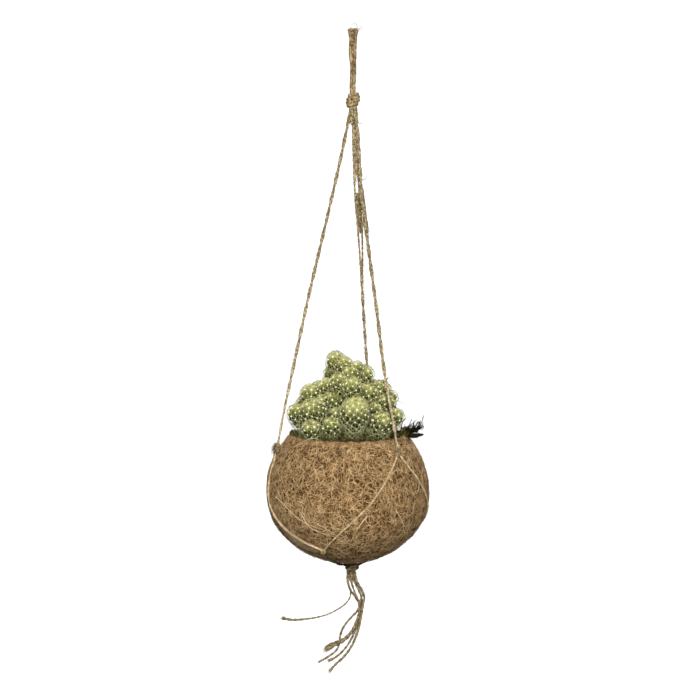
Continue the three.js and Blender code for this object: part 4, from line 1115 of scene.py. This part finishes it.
for side, (centre, half, twigs, longest, seed) in tufts.items():
    state = seed
    lucky = []
    for _ in range(4 * twigs):
        state = state * MOSS_GENERATOR % MOSS_MODULUS
        lucky.append(state / MOSS_MODULUS)
    chance = seeded(seed)
    centre = np.array(centre, dtype=float)
    half = np.array(half, dtype=float)
    twig_lines = []
    leaf_roots = []
    leaf_ways = []
    for number in range(twigs):
        a, b, c, d = lucky[4 * number : 4 * number + 4]
        turn = math.radians(-75 + 150 * (number + a) / twigs)
        way = np.array((math.copysign(1, centre[0]) * math.cos(turn), math.sin(turn), 0.0))
        long = longest * (0.5 + 0.5 * b)
        rise = longest * (0.15 + 0.75 * c)
        root = centre + way * half[0] * 0.4
        root[2] += (d - 0.4) * half[2]
        middle = root + way * long * 0.6 + (0, 0, rise * 0.25)
        path = smooth([root, middle, root + way * long + (0, 0, rise)], 0.5)
        twig_lines.append((path, np.linspace(0.8, 0.3, len(path))))
        for branch in (0.45, 0.7):
            begin = path[int(branch * (len(path) - 1))]
            lean = unit(way + chance.normal(size=3) * 0.7) * long * 0.22
            sprig = smooth([begin, begin + lean, begin + lean * 1.3 + (0, 0, long * 0.2)], 0.5)
            twig_lines.append((sprig, np.linspace(0.5, 0.2, len(sprig))))
        for path, _ in twig_lines[-3:]:
            leaf_roots.append(path)
            leaf_ways.append(unit(ahead_of(path) * 1.2 + chance.normal(size=path.shape) * 0.8))
    for number, points in enumerate(reaching if side == "right" else []):
        path = smooth(points, 0.5)
        leafy = number >= FIRST_LEAFY
        t = np.linspace(0, 1, len(path))
        thick = np.sin(math.pi * (0.1 + 0.85 * t)) * (number - 3.6) if leafy else 0.0
        twig_lines.append((path, 0.3 + 0.25 * (1 - t) + thick * 0.75))
        for _ in range(14 if leafy else 2):
            away = chance.normal(size=path.shape)
            leaf_roots.append(path + unit(away) * np.reshape(thick, (-1, 1)) * 0.85)
            leaf_ways.append(unit(ahead_of(path) * 1.4 + away * 0.8))
    on_twigs = chance.uniform(0, 0.45, sum(map(len, leaf_roots)))
    shade = np.concatenate([on_twigs, chance.uniform(0.4, 1.3, CUSHION_LEAVES)])
    root = unit(chance.normal(size=(CUSHION_LEAVES, 3))) * half * 0.85 + centre
    leaf_roots.append(root)
    leaf_ways.append(unit((root - centre) / half + chance.normal(size=root.shape) * 0.7))
    root = np.vstack(leaf_roots)
    way = np.vstack(leaf_ways)
    reach = chance.uniform(0.6, 1.8, len(root))[:, None]
    curl = chance.normal(size=root.shape) * 0.3 * reach
    curves = bowed(root, root + way * reach * 0.6, root + way * reach + curl, 4)
    thick = chance.uniform(0.12, 0.3, len(root))
    placed_as(hairs(f"moss_leaves_{side}", curves, thick, seed, shade), moss, "moss")
    level = np.linspace(-0.96, 0.96, 14)
    spine = np.stack([0 * level, level * half[1] * 0.8, 0 * level], axis=-1) + centre
    twig_lines.append((spine, np.sqrt(1 - level**2) * (half[0] + half[2]) / 2 * 0.7))
    placed_as(tubes(f"moss_twigs_{side}", twig_lines, sides=7), moss, "moss", f"moss_tuft_{side}")

# The room: a bright sheet of paper far behind the planter, a strong soft lamp in front and above, and
# three weaker ones, in front and below and behind at both sides. The air gives a little light.
PAPER_AWAY = 6.0
PAPER_HALF = 1.5
PAPER_MIDDLE = SEEN_MIDDLE - 0.54
WHITE = (1.0, 1.0, 1.0, 1.0)
LIT = np.array((0.0, 0.0, -0.38))
paper_corners = [(-1, -1), (1, -1), (1, 1), (-1, 1)]
paper_points = [(x * PAPER_HALF, PAPER_AWAY, PAPER_MIDDLE + z * PAPER_HALF) for x, z in paper_corners]
paper = built("backdrop", np.array(paper_points) * 1000, [(0, 1, 2, 3)])
paper_finish = dyed("pale_paper", [(246, 246, 246), (250, 250, 250)], 400, roughness=0.95, gloss=0.1)
glow = {"Emission Color": WHITE, "Emission Strength": 1.0}
fed(paper_finish.node_tree.nodes["Principled BSDF"], glow)
paper.data.materials.append(paper_finish)
world = bpy.data.worlds.new("room_light")
world.use_nodes = True
fed(world.node_tree.nodes["Background"], {"Color": WHITE, "Strength": 0.1})
bpy.context.scene.world = world
lamps = [
    ("key", (0.0, -2.4, 0.7), 0.4, 109.0),
    ("fill", (-0.1, -2.0, -1.2), 1.0, 10.0),
    ("back_left", (-1.7, 1.9, 0.9), 1.0, 10.0),
    ("back_right", (1.7, 1.9, 0.9), 1.0, 10.0),
]
for name, spot, size, power in lamps:
    lamp = bpy.data.lights.new(name, "AREA")
    lamp.size = size
    lamp.energy = power
    holder = bpy.data.objects.new(name, lamp)
    holder.location = spot
    toward = LIT - spot
    flat = math.hypot(toward[0], toward[1])
    holder.rotation_euler = (math.atan2(flat, -toward[2]), 0, math.atan2(-toward[0], toward[1]))
    bpy.context.scene.collection.objects.link(holder)
bpy.context.scene.view_settings.view_transform = "Standard"
